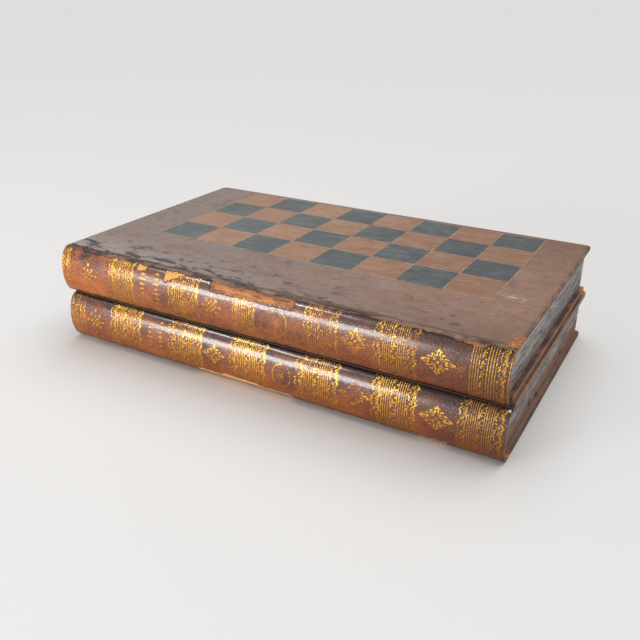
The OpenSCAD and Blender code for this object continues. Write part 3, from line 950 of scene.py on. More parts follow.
def board_paint(volume, look):
    """Matt leather with brushed streaks, dark scuffs and tan along its worn edges."""
    low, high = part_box(f"{volume}_board_leather")
    paint = Paint(f"{volume}_board_leather")
    upper = volume == "upper"
    seed = VOLUMES.index(volume) * 3.1
    across = (paint.x - low.x) / (high.x - low.x)
    # From left to right the leather goes from grey-mauve to browner, partly its own tone and partly
    # painted sheen at the left
    drift = (across * 0.9 + (paint.noise(14, 3, 0.6) - 0.5) * 0.9).fade(0.12, 0.8)
    paint.ground(drift, look.left, look.right)
    streaks = paint.noise(40, 6, 0.76, (0.8, 1.1, 1), (seed, 0, 0))
    paint.wash(streaks.fade(0.5, 0.7) * 0.5, DARK_STREAK)
    paint.wash(streaks.fade(0.46, 0.3) * 0.4, PALE_STREAK)
    mottle = paint.noise(150, 6, 0.8, (0.85, 1, 1), (0, seed, 0))
    paint.wash(mottle.fade(0.52, 0.66) * 0.45, DARK_MOTTLE)
    paint.wash(mottle.fade(0.44, 0.32) * 0.4, PALE_MOTTLE)
    warm = paint.noise(75, 5, 0.7, (0.9, 1, 1), (4, seed, 0)).fade(0.52, 0.66)
    paint.wash(warm * 0.4, WARM_CLOUD)
    spots = paint.noise(150, 2, 0.5, (0.8, 1, 1), (9, seed, 0)).fade(0.68, 0.74)
    paint.wash(spots * 0.7, SPOT)
    # Painted light greys the front left; painted shade browns the front right and darkens the back
    # right
    front = paint.y - low.y
    near_front = front.fade(52 * MM, 4 * MM)
    paint.wash(near_front * across * 0.55, SHADED_FRONT_BROWN)
    rear_shade = (front / (high.y - low.y) + across).fade(1.35, 1.9)
    paint.wash(rear_shade * 0.45, SHADE_BROWN)
    paint.wash(near_front * (1 - across) * 0.6, LIT_FRONT_GREY)
    # Along the spine the board is scuffed dark
    smear = paint.noise(84, 6, 0.72, (0.5, 1.1, 1), (0, seed, 4))
    spread = front.fade(62 * MM, 6 * MM) * across.fade(1.1, 0.3)
    dark = (smear + spread * 0.1).fade(0.57, 0.72) * (0.4 + spread)
    paint.wash(dark * 0.92, look.scuff)
    lip = (front.fade(9 * MM, 0) * 0.5 + paint.noise(90, 5, 0.75, DRAWN)).fade(0.66, 0.86)
    paint.wash(lip * (0.9 - across * 0.5), EDGE_LIP)
    rag = (paint.noise(240, 3, 0.7) - 0.5) * 1.1
    if upper:
        for place, reach in STAINS:
            stain = paint.near((*place, high.z), (reach, reach * 0.6, MARK_DEPTH)) + rag
            paint.wash(stain.fade(0.25, 0.5) * 0.6, STAIN)
        for place, reach, tint in SCUFFS:
            mark = paint.near((*place, high.z), (*reach, MARK_DEPTH)) + rag * 0.7
            paint.wash(mark.fade(0.35, 0.6) * 0.8, tint)
        round_scuff = paint.near((*SCUFF, high.z), (13 * MM, 7 * MM, MARK_DEPTH))
        ring = abs(round_scuff - 0.22 + rag * 0.2).fade(0.14, 0.05)
        paint.wash(ring * paint.noise(420, 3, 0.75).fade(0.48, 0.56) * 0.6, RING)
    # A faint tooled line runs round near the edges
    edge = ((paint.x - low.x).least(high.x - paint.x)).least(high.y - paint.y)
    fillet = abs(edge.least(front) - 7.5 * MM).fade(0.7 * MM, 0.25 * MM)
    paint.wash(fillet * paint.noise(90, 2).fade(0.44, 0.56) * 0.12, look.field_line)
    # The three open edges are dirty, then worn bare, and their sides are painted dark below as
    # painted shade
    ragged = edge + (paint.noise(300, 4, 0.75, (1, 1, 0.3)) - 0.5) * 5 * MM
    handled = paint.noise(30, 5, 0.78, EVEN, (6, seed, 0)).fade(0.46, 0.58)
    paint.wash(ragged.fade(3.4 * MM, 0.4 * MM) * 0.55, EDGE_DIRT)
    paint.wash(ragged.fade(1.3 * MM, 0.1 * MM) * handled * 0.85, look.worn)
    inward = high.z - paint.z if upper else paint.z - low.z
    flank = (inward + rag * 0.6 * MM).fade(0.7 * MM, 1.5 * MM) * edge.fade(1 * MM, 0.2 * MM)
    paint.wash(flank * 0.8, FLANK_SHADE)
    # Leather worn through at the corners, flaked and flecked with light
    flaked = paint.noise(380, 4, 0.75).fade(0.42, 0.6)
    flecks = paint.noise(560, 3, 0.75).fade(0.56, 0.64)
    rusty = paint.mix(flecks * 0.8, paint.mix(flaked, look.corner_worn, RUST), BRIGHT_FLECK)
    handled_most = (13 * MM, 34 * MM, 1) if upper else (6 * MM, 12 * MM, 1)
    for corner, reach in (
            ((high.x, low.y, 0), handled_most), ((high.x, high.y, 0), (9 * MM, 7 * MM, 1)),
            ((low.x, low.y, 0), (8 * MM, 6 * MM, 1)), ((low.x, high.y, 0), (6 * MM, 6 * MM, 1))):
        bare = (paint.near(corner, reach) + rag * 1.3).fade(0.2, 0.6)
        paint.wash(bare * 0.85, rusty)
    grain = paint.cells(620, (0.8, 1, 1))
    normal = paint.bump(paint.noise(42, 4, 0.65, (0.5, 1.4, 1)), 0.5 * MM)
    normal = paint.bump(grain * 0.7 + paint.noise(900, 3, 0.7) * 0.8, 0.09 * MM, normal)
    return paint.coat(0.58 + (streaks - 0.5) * 0.4 - dark * 0.12, normal, specular_ior_level=0.32)


def turnover_paint(volume):
    """The skived edge of the board's leather: grey-mauve, cracked and dirty."""
    paint = Paint(f"{volume}_turned_leather")
    cloud = paint.noise(110, 6, 0.78, (0.4, 1, 1), (VOLUMES.index(volume) * 4, 0, 0))
    paint.ground(cloud.fade(0.4, 0.58), TURNED_DARK, TURNED_PALE)
    paint.wash(paint.noise(260, 4, 0.75, (0.4, 1, 1)).fade(0.6, 0.7) * 0.7, TURNED_WORN)
    normal = paint.bump(cloud + paint.noise(700, 3, 0.7) * 0.4, 0.2 * MM)
    return paint.coat(0.55 + cloud * 0.15, normal, specular_ior_level=0.35)


# The faded and the deep shade of a square's dye, and the leather where it is rubbed
SQUARE_SHADES = {
    "dark": (tone(122, 126, 122), tone(76, 80, 84), tone(160, 146, 130)),
    "light": (tone(176, 146, 124), tone(136, 98, 78), tone(200, 172, 146)),
}


def square_paint(volume, kind, own):
    """Dyed onlay, each square of its own strength, rubbed, a little streaked, darker to the right
    in painted shade.
    """
    faded, deep, worn = SQUARE_SHADES[kind]
    low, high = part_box(f"{volume}_{kind}_squares")
    paint = Paint(f"{volume}_{kind}_squares")
    cloud = paint.noise(40, 6, 0.74, (0.8, 1, 1), (1.7, 0, 0)).fade(0.4, 0.66)
    brushed = paint.noise(110, 6, 0.76, (0.5, 1.3, 1))
    field_low, field_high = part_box(f"{volume}_field_lines")
    pitch = (field_high.y - field_low.y) / FIELD_ROWS
    counted = paint.stretched((1 / pitch, 1 / pitch, 0), (-low.x / pitch, -low.y / pitch, 0))
    square = paint.node("ShaderNodeVectorMath", {"operation": "FLOOR"}, {0: counted})
    dye = paint.node("ShaderNodeTexWhiteNoise", {}, {"Vector": square})
    paint.ground((cloud * 0.6 + dye * 0.5 - 0.15).most(0), own, faded)
    # Painted shade, laid over the real streaks of the dye, darkens the squares towards the right
    across = (paint.x - low.x) / (high.x - low.x)
    paint.wash((across * 0.35 + brushed).fade(0.55, 0.9) * 0.7, deep)
    paint.wash(paint.noise(200, 5, 0.78, (0.6, 1, 1), (0, 5, 0)).fade(0.6, 0.7) * 0.45, worn)
    grain = paint.cells(620, (0.8, 1, 1)) * 0.7 + paint.noise(900, 3, 0.7) * 0.6
    return paint.coat(0.6 + (brushed - 0.5) * 0.25, paint.bump(grain, 0.08 * MM),
                      specular_ior_level=0.3)


def field_line_paint(look):
    """Gilt lines, mostly rubbed away."""
    paint = Paint("field_lines")
    left = (paint.noise(160, 3, 0.7) + (paint.noise(22, 3) - 0.5) * 0.5).fade(0.42, 0.58)
    paint.ground(left, LOST_LINE, look.field_line)
    return paint.coat(0.5, paint.bump(paint.noise(900, 2), 0.05 * MM), metallic=left * 0.15)


class GAMESBOX_OT_boards(bpy.types.Operator):
    """Cover both outer boards in worn leather"""
    bl_idname = "games_box.boards"
    bl_label = "Board Leather"
    # Width and depth of a mesh cell
    cell = (9 * MM, 7 * MM)

    def execute(self, context):
        look = context.scene.games_box_board
        for volume in VOLUMES:
            low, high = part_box(f"{volume}_board_leather")
            size, centre = high - low, (high + low) / 2
            bm = bmesh.new()
            bmesh.ops.create_cube(bm, size=1, matrix=Matrix.Translation(centre)
                                  @ Matrix.Diagonal((*size, 1)))
            for back, radius in ((True, look.back_corner), (False, look.corner)):
                upright = [edge for edge in bm.edges
                           if abs(edge.verts[0].co.z - edge.verts[1].co.z) > size.z / 2
                           and (edge.verts[0].co.y > centre.y) == back]
                round_edges(bm, upright, radius, 4)
            rim = [edge for edge in bm.edges
                   if abs(edge.verts[0].co.z - edge.verts[1].co.z) < size.z / 2]
            round_edges(bm, rim, look.edge, 3)
            field_low, field_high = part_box(f"{volume}_field_lines")
            for axis, pitch in enumerate(self.cell):
                slice_up(bm, axis, [*spaced(low[axis], high[axis], pitch),
                                    field_low[axis], field_high[axis]])

            def in_field(place, margin=0):
                return all(field_low[axis] - margin < place[axis] < field_high[axis] + margin
                           for axis in (0, 1))
            way = outward(volume)
            bed = [face for face in bm.faces
                   if face.normal.z * way > 0.99 and in_field(face.calc_center_median())]
            let_in = bmesh.ops.extrude_face_region(bm, geom=bed)
            bmesh.ops.delete(bm, geom=bed, context="FACES_ONLY")
            sunk = [item for item in let_in["geom"] if isinstance(item, bmesh.types.BMVert)]
            bmesh.ops.translate(bm, verts=sunk, vec=(0, 0, -way * look.bed))
            rumple(bm, look.sag, scale=26, seed=VOLUMES.index(volume) * 9,
                   keep=lambda place: 0 if in_field(place, MM) else 1)
            finish_piece(bm, f"{volume}_board_cover", f"{volume}_volume",
                         [board_paint(volume, look)],
                         [f"{volume}_board_leather", f"{volume}_board"], 40)
        return {"FINISHED"}


class GAMESBOX_OT_turnovers(bpy.types.Operator):
    """Turn the ragged edge of each board's leather over onto its spine"""
    bl_idname = "games_box.turnovers"
    bl_label = "Turned-over Leather"
    # Length of a mesh cell, rows of cells, and gap at the ends
    cell, rows, end_gap = 1.2 * MM, 7, 0.2 * MM
    # Long and short waves of the ragged edge, and the least that it reaches down
    rag, fray, least = 1.2 * MM, 0.7 * MM, 0.4 * MM
    # Share of the rows that go round the board's edge, how far they stand off it and drop
    flat, lift, drop = 0.3, 0.04 * MM, 0.7 * MM
    # Height of the turned leather over the spine's, where it starts
    height = 0.34 * MM

    def execute(self, context):
        look, spine = context.scene.games_box_board, context.scene.games_box_spine
        for volume in VOLUMES:
            swell, way = Swell(volume), outward(volume)
            low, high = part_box(f"{volume}_board_leather")
            face = high.z if way > 0 else low.z
            bm = bmesh.new()
            for vert, along, part in swell.sheet(bm, self.cell, self.rows, self.end_gap):
                reach = (look.turned + self.rag * noise.noise((along * 55, 3, swell.seed))
                         + self.fray * noise.noise((along * 260, 5, swell.seed)))
                if part < self.flat:
                    turn = part / self.flat * math.pi / 2
                    vert.co = (along, swell.edge + look.edge * (1 - math.sin(turn)),
                               face - way * (self.lift + self.drop * (1 - math.cos(turn))))
                else:
                    down = (part - self.flat) / (1 - self.flat) * max(self.least, reach)
                    down = down if way > 0 else swell.girth - down
                    lift = self.height * (1 - 0.5 * part) + spine.waviness * 0.4
                    vert.co = swell.point(along, down, lift, spine)
            if way > 0:
                bmesh.ops.reverse_faces(bm, faces=bm.faces[:])
            thicken(bm, look.skived)
            finish_piece(bm, f"{volume}_board_turnover", f"{volume}_volume",
                         [turnover_paint(volume)])
        return {"FINISHED"}


class GAMESBOX_OT_field(bpy.types.Operator):
    """Colour the squares and the lines of the chess field"""
    bl_idname = "games_box.field"
    bl_label = "Chess Field"

    def execute(self, context):
        look = context.scene.games_box_board
        lines = field_line_paint(look)
        for volume in VOLUMES:
            for kind, own in (("dark", look.dark_square), ("light", look.light_square)):
                dress(f"{volume}_{kind}_squares", square_paint(volume, kind, own))
            dress(f"{volume}_field_lines", lines)
        return {"FINISHED"}


# Page blocks and rims

# Worm holes in the lower block's right end: across and up
WORM_HOLES = ((57.3 * MM, 11.4 * MM), (-27.2 * MM, 8 * MM), (-50.9 * MM, 11.6 * MM))


def page_paint(volume, look):
    """Grey page edges, streaked along the pages, in painted shade at the rim or stained by the
    board.
    """
    low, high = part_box(f"{volume}_right_end")
    paint = Paint(f"{volume}_page_edge")
    seed = VOLUMES.index(volume) * 5
    streaks = paint.noise(100, 4, 0.7, (0.05, 0.05, 6), (seed, 0, 0))
    wide = paint.noise(60, 4, 0.65, (0.12, 0.12, 1.6), (0, seed, 1))
    fibre = paint.noise(420, 5, 0.8, (0.12, 0.12, 1), (0, seed, 3))
    blotch = paint.noise(70, 5, 0.75, (0.4, 0.4, 1.4), (2, seed, 0))
    threads = paint.noise(900, 4, 0.8, (0.08, 0.08, 1), (1, 0, seed))
    paint.ground(streaks.fade(0.54, 0.38) * 0.85, look.page, look.streak)
    for share, shade in (
            (fibre.fade(0.5, 0.6) * 0.65, look.streak), (fibre.fade(0.46, 0.36) * 0.65, PALE_FIBRE),
            (wide.fade(0.52, 0.7) * 0.55, look.stain), (streaks.fade(0.6, 0.72) * 0.4, PALE_PAGE),
            (blotch.fade(0.52, 0.66) * 0.75, PAGE_BLOTCH),
            (blotch.fade(0.46, 0.34) * 0.6, PAGE_LIGHT),
            (threads.fade(0.54, 0.64) * 0.5, PAGE_THREAD)):
        paint.wash(share, shade)
    height = (paint.z - low.z) / (high.z - low.z)
    rag = (paint.noise(55, 4, 0.65, (0.4, 0.4, 1)) - 0.5) * 0.7
    pits = 0
    if volume == "lower":
        at_end = paint.x.fade(high.x - 8 * MM, high.x - 2 * MM) * 0.6 + 0.4
        soaked = (height + rag).fade(0.52, 0.34) * at_end
        rust = paint.noise(210, 4, 0.75, (0.5, 0.5, 1), (1, 0, 3))
        paint.wash(soaked * 0.8, look.stain)
        paint.wash(soaked * rust.fade(0.56, 0.64) * 0.8, PAGE_RUST)
        paint.wash(soaked * rust.fade(0.44, 0.36) * 0.7, PAGE_DIRT)
        for place in WORM_HOLES:
            pit = paint.near((high.x, *place), (10 * MM, 4.4 * MM, 2.6 * MM)).fade(0.1, 0.4)
            paint.wash(pit, WORM_HOLE)
            pits = pit + pits
    else:
        # On the upper block painted shade darkens the pages towards the rim, and painted light
        # brightens them under the board
        paint.wash((height + rag * 0.5).fade(0.5, 0.05) * 0.6, RIM_SIDE_SHADE)
        paint.wash((height + rag * 0.5).fade(0.6, 0.85) * 0.35, BOARD_SIDE_LIGHT)
    normal = paint.bump(streaks + paint.noise(500, 3, 0.7, (0.2, 0.2, 1)) * 0.4, 0.3 * MM)
    return paint.coat(pits * 0.2 + 0.66, normal, specular_ior_level=0.28)


def rim_paint(volume, look):
    """Brown leather of a rim, with bare leather at its edges and corners, and painted shade at its
    front.
    """
    low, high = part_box(f"{volume}_rim_front")
    left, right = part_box(f"{volume}_rim_left")[0].x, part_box(f"{volume}_rim_right")[1].x
    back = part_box(f"{volume}_rim_back")[1].y
    paint = Paint(f"{volume}_rim_leather")
    cloud = paint.noise(40, 5, 0.7, (0.6, 0.6, 1), (0, 0, 2 + VOLUMES.index(volume)))
    paint.ground(cloud.fade(0.4, 0.64), look.rim_dark, look.rim)
    lines = paint.noise(130, 4, 0.7, (0.06, 0.06, 5))
    paint.wash(lines.fade(0.58, 0.7) * 0.5, RIM_LINE)
    edge = ((paint.x - left).least(right - paint.x)).least(back - paint.y)
    flank = (paint.z - low.z).least(high.z - paint.z)
    rag = paint.noise(190, 4, 0.75) - 0.5
    worn = (edge.fade(1.6 * MM, 0) * flank.fade(1.1 * MM, 0.1 * MM) + rag * 0.9).fade(0.55, 0.8)
    paint.wash(worn * 0.8, look.rim_worn)
    # Painted shade darkens the front of the rim, in the seam behind the spines
    paint.wash((paint.y - low.y).fade(12 * MM, 2 * MM) * 0.85, RIM_SEAM_SHADE)
    for x in (left, right):
        corner = (paint.near((x, back, 0), (13 * MM, 20 * MM, 1)) + rag).fade(0.25, 0.5)
        paint.wash(corner * 0.75, RIM_CORNER)
    normal = paint.bump(lines * 0.6 + paint.noise(600, 3, 0.7) * 0.4, 0.22 * MM)
    return paint.coat(0.52 + (cloud - 0.5) * 0.3, normal, specular_ior_level=0.4)


class GAMESBOX_OT_blocks(bpy.types.Operator):
    """Cut page edges into the sides of both page blocks"""
    bl_idname = "games_box.blocks"
    bl_label = "Page Blocks"
    # Length of a mesh cell along the pages
    cell = 12 * MM

    def execute(self, context):
        look = context.scene.games_box_block
        for volume in VOLUMES:
            material = page_paint(volume, look)
            for part, axis, way in (("left_end", 0, -1), ("right_end", 0, 1), ("back_rail", 1, 1)):
                node = f"{volume}_{part}"
                low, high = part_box(node)
                bm = merged_copy(node)
                other = 1 - axis
                slice_up(bm, 2, spaced(low.z, high.z, look.pitch / 2))
                slice_up(bm, other, spaced(low[other], high[other], self.cell))
                face = high[axis] if way > 0 else low[axis]
                for vert in bm.verts:
                    if abs(vert.co[axis] - face) < TOUCH:
                        run = vert.co[other]
                        leaf = noise.noise((7, run * 9, vert.co.z * 1100))
                        slow = noise.noise((3, run * 30, vert.co.z * 160))
                        vert.co[axis] -= way * look.ridge * (0.5 + 0.32 * leaf + 0.18 * slow)
                finish_piece(bm, f"{volume}_{part}_pages", f"{volume}_volume",
                             [material], [node], 60)
        return {"FINISHED"}


class GAMESBOX_OT_rims(bpy.types.Operator):
    """Wear down the rims of both volumes"""
    bl_idname = "games_box.rims"
    bl_label = "Rims"
    # Length of a mesh cell
    cell = 5 * MM
    # How far the seat of a hinge reaches along the rim from its middle, and into it
    seat = (25 * MM, 14 * MM)
    # Edges shorter than this belong to a mitre or to a recess, and aren't worn
    shortest_edge = 12 * MM

    def execute(self, context):
        look = context.scene.games_box_block
        for volume in VOLUMES:
            material = rim_paint(volume, look)
            for side in ("front", "back", "left", "right"):
                node = f"{volume}_rim_{side}"
                low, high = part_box(node)
                bm = merged_copy(node)
                axis = 0 if side in ("front", "back") else 1
                outer = [edge for edge in sharp_edges(bm, 30) if self.worn_edge(edge)]
                round_edges(bm, outer, look.rim_edge, 3)
                slice_up(bm, axis, spaced(low[axis], high[axis], self.cell))
                rumple(bm, look.rim_dents, scale=90, seed=5, keep=self.open_side)
                for vert in bm.verts:
                    vert.co.x = min(max(vert.co.x, low.x), high.x)
                finish_piece(bm, f"{volume}_rim_{side}_worn", f"{volume}_volume",
                             [material], [node], 40)
        return {"FINISHED"}

    def worn_edge(self, edge):
        """An edge along the strip, and not one of its mitres or of a hinge's recess."""
        return edge.calc_length() >= self.shortest_edge and all(
            part < 0.05 or part > 0.95 for face in edge.link_faces
            for part in map(abs, face.normal))

    def open_side(self, place):
        """No wear where a strip holds a hinge."""
        along, into = self.seat
        return 0 if place.y > HINGE_EDGE - into and abs(abs(place.x) - HINGE_X) < along else 1


# Trays

def lining_paint(look):
    paint = Paint("tray_lining")
    cloud = paint.noise(24, 4, 0.6)
    paint.ground(cloud.fade(0.35, 0.68), look.lining, FADED_LINING)
    paint.wash(paint.noise(120, 4, 0.7).fade(0.6, 0.74) * 0.4, RUBBED_LINING)
    normal = paint.bump(paint.cells(800) * 0.7 + paint.noise(60, 3) * 0.6, 0.1 * MM)
    return paint.coat(0.6 + (cloud - 0.5) * 0.2, normal, specular_ior_level=0.3)


def point_paint(name, own, faded):
    paint = Paint(name)
    cloud = paint.noise(40, 4, 0.65)
    paint.ground(cloud.fade(0.4, 0.7) * 0.6, own, faded)
    paint.wash(paint.noise(200, 4, 0.7).fade(0.62, 0.74) * 0.4, POINT_DIRT)
    normal = paint.bump(paint.cells(900) + paint.noise(80, 3) * 0.5, 0.08 * MM)
    return paint.coat(0.52 + (cloud - 0.5) * 0.2, normal, specular_ior_level=0.35)


def fillet_paint():
    paint = Paint("tooled_fillet")
    left = paint.noise(320, 3, 0.7).fade(0.4, 0.56)
    paint.ground(left, LOST_FILLET, WHOLE_FILLET)
    return paint.coat(0.4, paint.bump(paint.noise(900, 2), 0.06 * MM), metallic=left * 0.6)


def wood_paint(look):
    paint = Paint("bare_wood")
    grain = paint.noise(60, 5, 0.6, (0.08, 1.6, 1.6))
    paint.ground(grain.fade(0.35, 0.65), look.wood, DARK_GRAIN)
    return paint.coat(0.7, paint.bump(grain, 0.15 * MM), specular_ior_level=0.3)


class GAMESBOX_OT_trays(bpy.types.Operator):
    """Line the trays and lay the backgammon points"""
    bl_idname = "games_box.trays"
    bl_label = "Trays"

    def execute(self, context):
        look = context.scene.games_box_tray
        lining, fillet, wood = lining_paint(look), fillet_paint(), wood_paint(look)
        points = {
            "light": point_paint("light_points", look.light_point, FADED_TAN),
            "dark": point_paint("dark_points", look.dark_point, FADED_RED),
        }
        for volume in VOLUMES:
            way = -outward(volume)
            for part in ("floor_lining", "wall_lining"):
                node = f"{volume}_{part}"
                bm = merged_copy(node)
                round_edges(bm, sharp_edges(bm), look.edge)
                finish_piece(bm, f"{node}_leather", f"{volume}_volume", [lining], [node])
            for kind, material in points.items():
                node = f"{volume}_points_{kind}"
                bm = merged_copy(node)
                tops = [face for face in bm.faces if face.normal.z * way > 0.9]
                before = set(bm.faces)
                for face in tops:
                    bmesh.ops.inset_individual(bm, faces=[face], thickness=look.border)
                for face in set(bm.faces) - before:
                    face.material_index = 1
                round_edges(bm, sharp_edges(bm), look.edge / 2, 1)
                finish_piece(bm, f"{node}_tooled", f"{volume}_volume",
                             [material, fillet], [node])
            dress(f"{volume}_front_rail", wood)
            self.fillets(volume, way, look, fillet)
        return {"FINISHED"}

    @staticmethod
    def fillets(volume, way, look, material):
        """A wide and a fine tooled line at each side of the bare bar of a tray."""
        low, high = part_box(f"{volume}_floor_lining")
        level = (high.z if way > 0 else low.z) + way * 0.05 * MM
        long = high.y - low.y - 2 * look.margin
        bm = bmesh.new()
        for shift, wide in ((0, look.wide_fillet), (look.fillet_pitch, look.fine_fillet)):
            for side in (-1, 1):
                x = (low.x + high.x) / 2 + side * (look.bar / 2 - shift)
                place = (Matrix.Translation((x, (low.y + high.y) / 2, level))
                         @ Matrix.Diagonal((wide, long, look.fillet_thickness, 1)))
                bmesh.ops.create_cube(bm, size=1, matrix=place)
        round_edges(bm, bm.edges[:], look.fillet_thickness / 4, 1)
        finish_piece(bm, f"{volume}_tray_fillets", f"{volume}_volume", [material])


# Fittings

def brass_paint(look):
    paint = Paint("brass")
    aged = paint.noise(140, 5, 0.7).fade(0.42, 0.66)
    paint.ground(aged, look.brass, look.tarnish)
    normal = paint.bump(paint.noise(700, 3, 0.7, (0.2, 1, 1)), 0.04 * MM)
    return paint.coat(0.28 + aged * 0.25, normal, metallic=1 - aged * 0.25)


# The nail head is near-white and not metal: its steel is partly a painted glint
def steel_glint_paint(look):
    paint = Paint("nail_steel_glint")
    dull = paint.noise(900, 2)
    paint.ground(dull * 0.5, look.steel, DULL_STEEL)
    return paint.coat(dull * 0.3 + 0.25)


class GAMESBOX_OT_fittings(bpy.types.Operator):
    """Soften the brass hinges and set the small nail in the lower spine"""
    bl_idname = "games_box.fittings"
    bl_label = "Brass Fittings"

    def execute(self, context):
        look, spine = context.scene.games_box_fitting, context.scene.games_box_spine
        brass = brass_paint(look)
        nodes = [(f"hinge_{side}_{part}", volume) for side in SIDES for part, volume in (
            ("lower_leaf", "lower"), ("upper_leaf", "upper"), ("pin", "lower"))]
        nodes += [(f"hinge_screws_{volume}", volume) for volume in VOLUMES]
        for node, volume in nodes:
            bm = merged_copy(node)
            round_edges(bm, sharp_edges(bm, 40), look.soften, 1)
            finish_piece(bm, f"{node}_brass", f"{volume}_volume", [brass], [node])
        # The nail stands near the end of the lower spine, close under its top edge
        swell = Swell("lower")
        along, down = swell.right - look.nail_in, look.nail_down
        seat = swell.point(along, down, 0, spine)
        out = (swell.point(along, down, 1 * MM, spine) - seat).normalized()
        turned = out.to_track_quat("Z", "Y").to_matrix().to_4x4()
        flattened = Matrix.Diagonal((1, 1, 0.55, 1))
        bm = bmesh.new()
        bmesh.ops.create_uvsphere(bm, u_segments=20, v_segments=12, radius=look.nail / 2,
                                  matrix=Matrix.Translation(seat) @ turned @ flattened)
        finish_piece(bm, "spine_nail", "lower_volume", [steel_glint_paint(look)])
        return {"FINISHED"}


# Games

def counter_paint(name, own, other, shine):
    paint = Paint(name)
    grain = paint.noise(90, 5, 0.6, (0.15, 1.5, 1))
    pores = paint.noise(500, 3, 0.7, (0.1, 1, 1)).fade(0.6, 0.72)
    paint.ground(grain.fade(0.35, 0.68) * 0.7, own, other)
    paint.wash(pores * 0.35, PORES)
    return paint.coat(shine + pores * 0.2, paint.bump(grain + pores * -0.3, 0.06 * MM),
                      coat_weight=0.3)


def cup_paint(look):
    paint = Paint("cup_leather")
    cloud = paint.noise(60, 4, 0.6)
    paint.ground(cloud.fade(0.4, 0.66), look.cup, DARK_CUP)
    paint.wash(paint.noise(200, 4, 0.75).fade(0.62, 0.74) * 0.5, RUBBED_CUP)
    normal = paint.bump(paint.cells(700) * 0.6 + paint.noise(90, 3) * 0.5, 0.16 * MM)
    return paint.coat(0.42 + cloud * 0.12, normal, specular_ior_level=0.45)


def bone_paint(look):
    paint = Paint("bone")
    cloud = paint.noise(160, 4, 0.6, (1, 1, 0.3))
    paint.ground(cloud.fade(0.4, 0.7) * 0.6, look.bone, OLD_BONE)
    return paint.coat(0.32, paint.bump(cloud, 0.05 * MM), subsurface_weight=0.08,
                      subsurface_radius=(0.002, 0.001, 0.0006))


def pip_paint(look):
    paint = Paint("pip_ink")
    paint.ground(paint.noise(900, 2).fade(0.4, 0.7), look.pip, FADED_INK)
    return paint.coat(0.5)


def lathe(profile, centre, axis, turns):
    """Turns a profile of (distance out, distance along) pairs round an axis into a solid."""
    bm = bmesh.new()
    axis = Vector(axis)
    aside = axis.orthogonal().normalized()
    verts = [bm.verts.new(centre + aside * out + axis * up) for out, up in profile]
    edges = [bm.edges.new(pair) for pair in zip(verts, verts[1:])]
    bmesh.ops.spin(bm, geom=verts + edges, cent=centre, axis=axis, angle=2 * math.pi,
                   steps=turns, use_merge=True)
    bmesh.ops.remove_doubles(bm, verts=bm.verts, dist=TOUCH)
    bmesh.ops.recalc_face_normals(bm, faces=bm.faces)
    return bm


class GAMESBOX_OT_counters(bpy.types.Operator):
    """Turn the counters and stack them"""
    bl_idname = "games_box.counters"
    bl_label = "Counters"
    # Angle by which each counter is turned against the one before, in radians
    turn = 2.4

    def execute(self, context):
        look = context.scene.games_box_game
        paints = {
            "light": counter_paint("boxwood", look.boxwood, BOXWOOD_GRAIN, 0.3),
            "dark": counter_paint("ebony", look.ebony, EBONY_GRAIN, 0.26),
        }
        for kind, material in paints.items():
            node = f"{kind}_counters"
            source = merged_copy(node)
            bm = bmesh.new()
            boxes = self.solids(source)
            source.free()
            size = boxes[0][1] - boxes[0][0]
            for n, (low, high) in enumerate(boxes):
                one = lathe(self.profile(size.x / 2, size.z / 2), Vector(), (0, 0, 1), look.turns)
                bmesh.ops.rotate(one, verts=one.verts, cent=(0, 0, 0),
                                 matrix=Matrix.Rotation(n * self.turn, 3, "Z"))
                bmesh.ops.translate(one, verts=one.verts, vec=(low + high) / 2)
                pour(one, bm)
            finish_piece(bm, f"{node}_turned", "lower_volume", [material],
                         [node])
        return {"FINISHED"}

    @staticmethod
    def profile(radius, half):
        """Half of a counter's outline: a boss, a ring and a rounded edge, on both faces."""
        face = [(0, 1), (0.2, 0.985), (0.42, 0.97), (0.45, 0.9), (0.5, 0.84), (0.7, 0.84),
                (0.74, 0.9), (0.77, 0.99), (0.8, 1), (0.9, 1), (0.96, 0.94), (0.99, 0.8)]
        outline = [(radius * out, half * up) for out, up in face]
        grooves = [(radius, half * 0.6), (radius, half * 0.18), (radius - 0.35 * MM, 0)]
        lower = [(out, -up) for out, up in reversed(outline + grooves[:2])]
        return outline + grooves + lower

    @staticmethod
    def solids(bm):
        """Corners of the box round each loose part of a mesh."""
        left = set(bm.verts)
        found = []
        while left:
            group, edge = set(), [left.pop()]
            while edge:
                vert = edge.pop()
                group.add(vert)
                for link in vert.link_edges:
                    other = link.other_vert(vert)
                    if other in left:
                        left.discard(other)
                        edge.append(other)
            found.append((Vector(min(v.co[i] for v in group) for i in range(3)),
                          Vector(max(v.co[i] for v in group) for i in range(3))))
        return sorted(found, key=lambda box: tuple(box[0]))


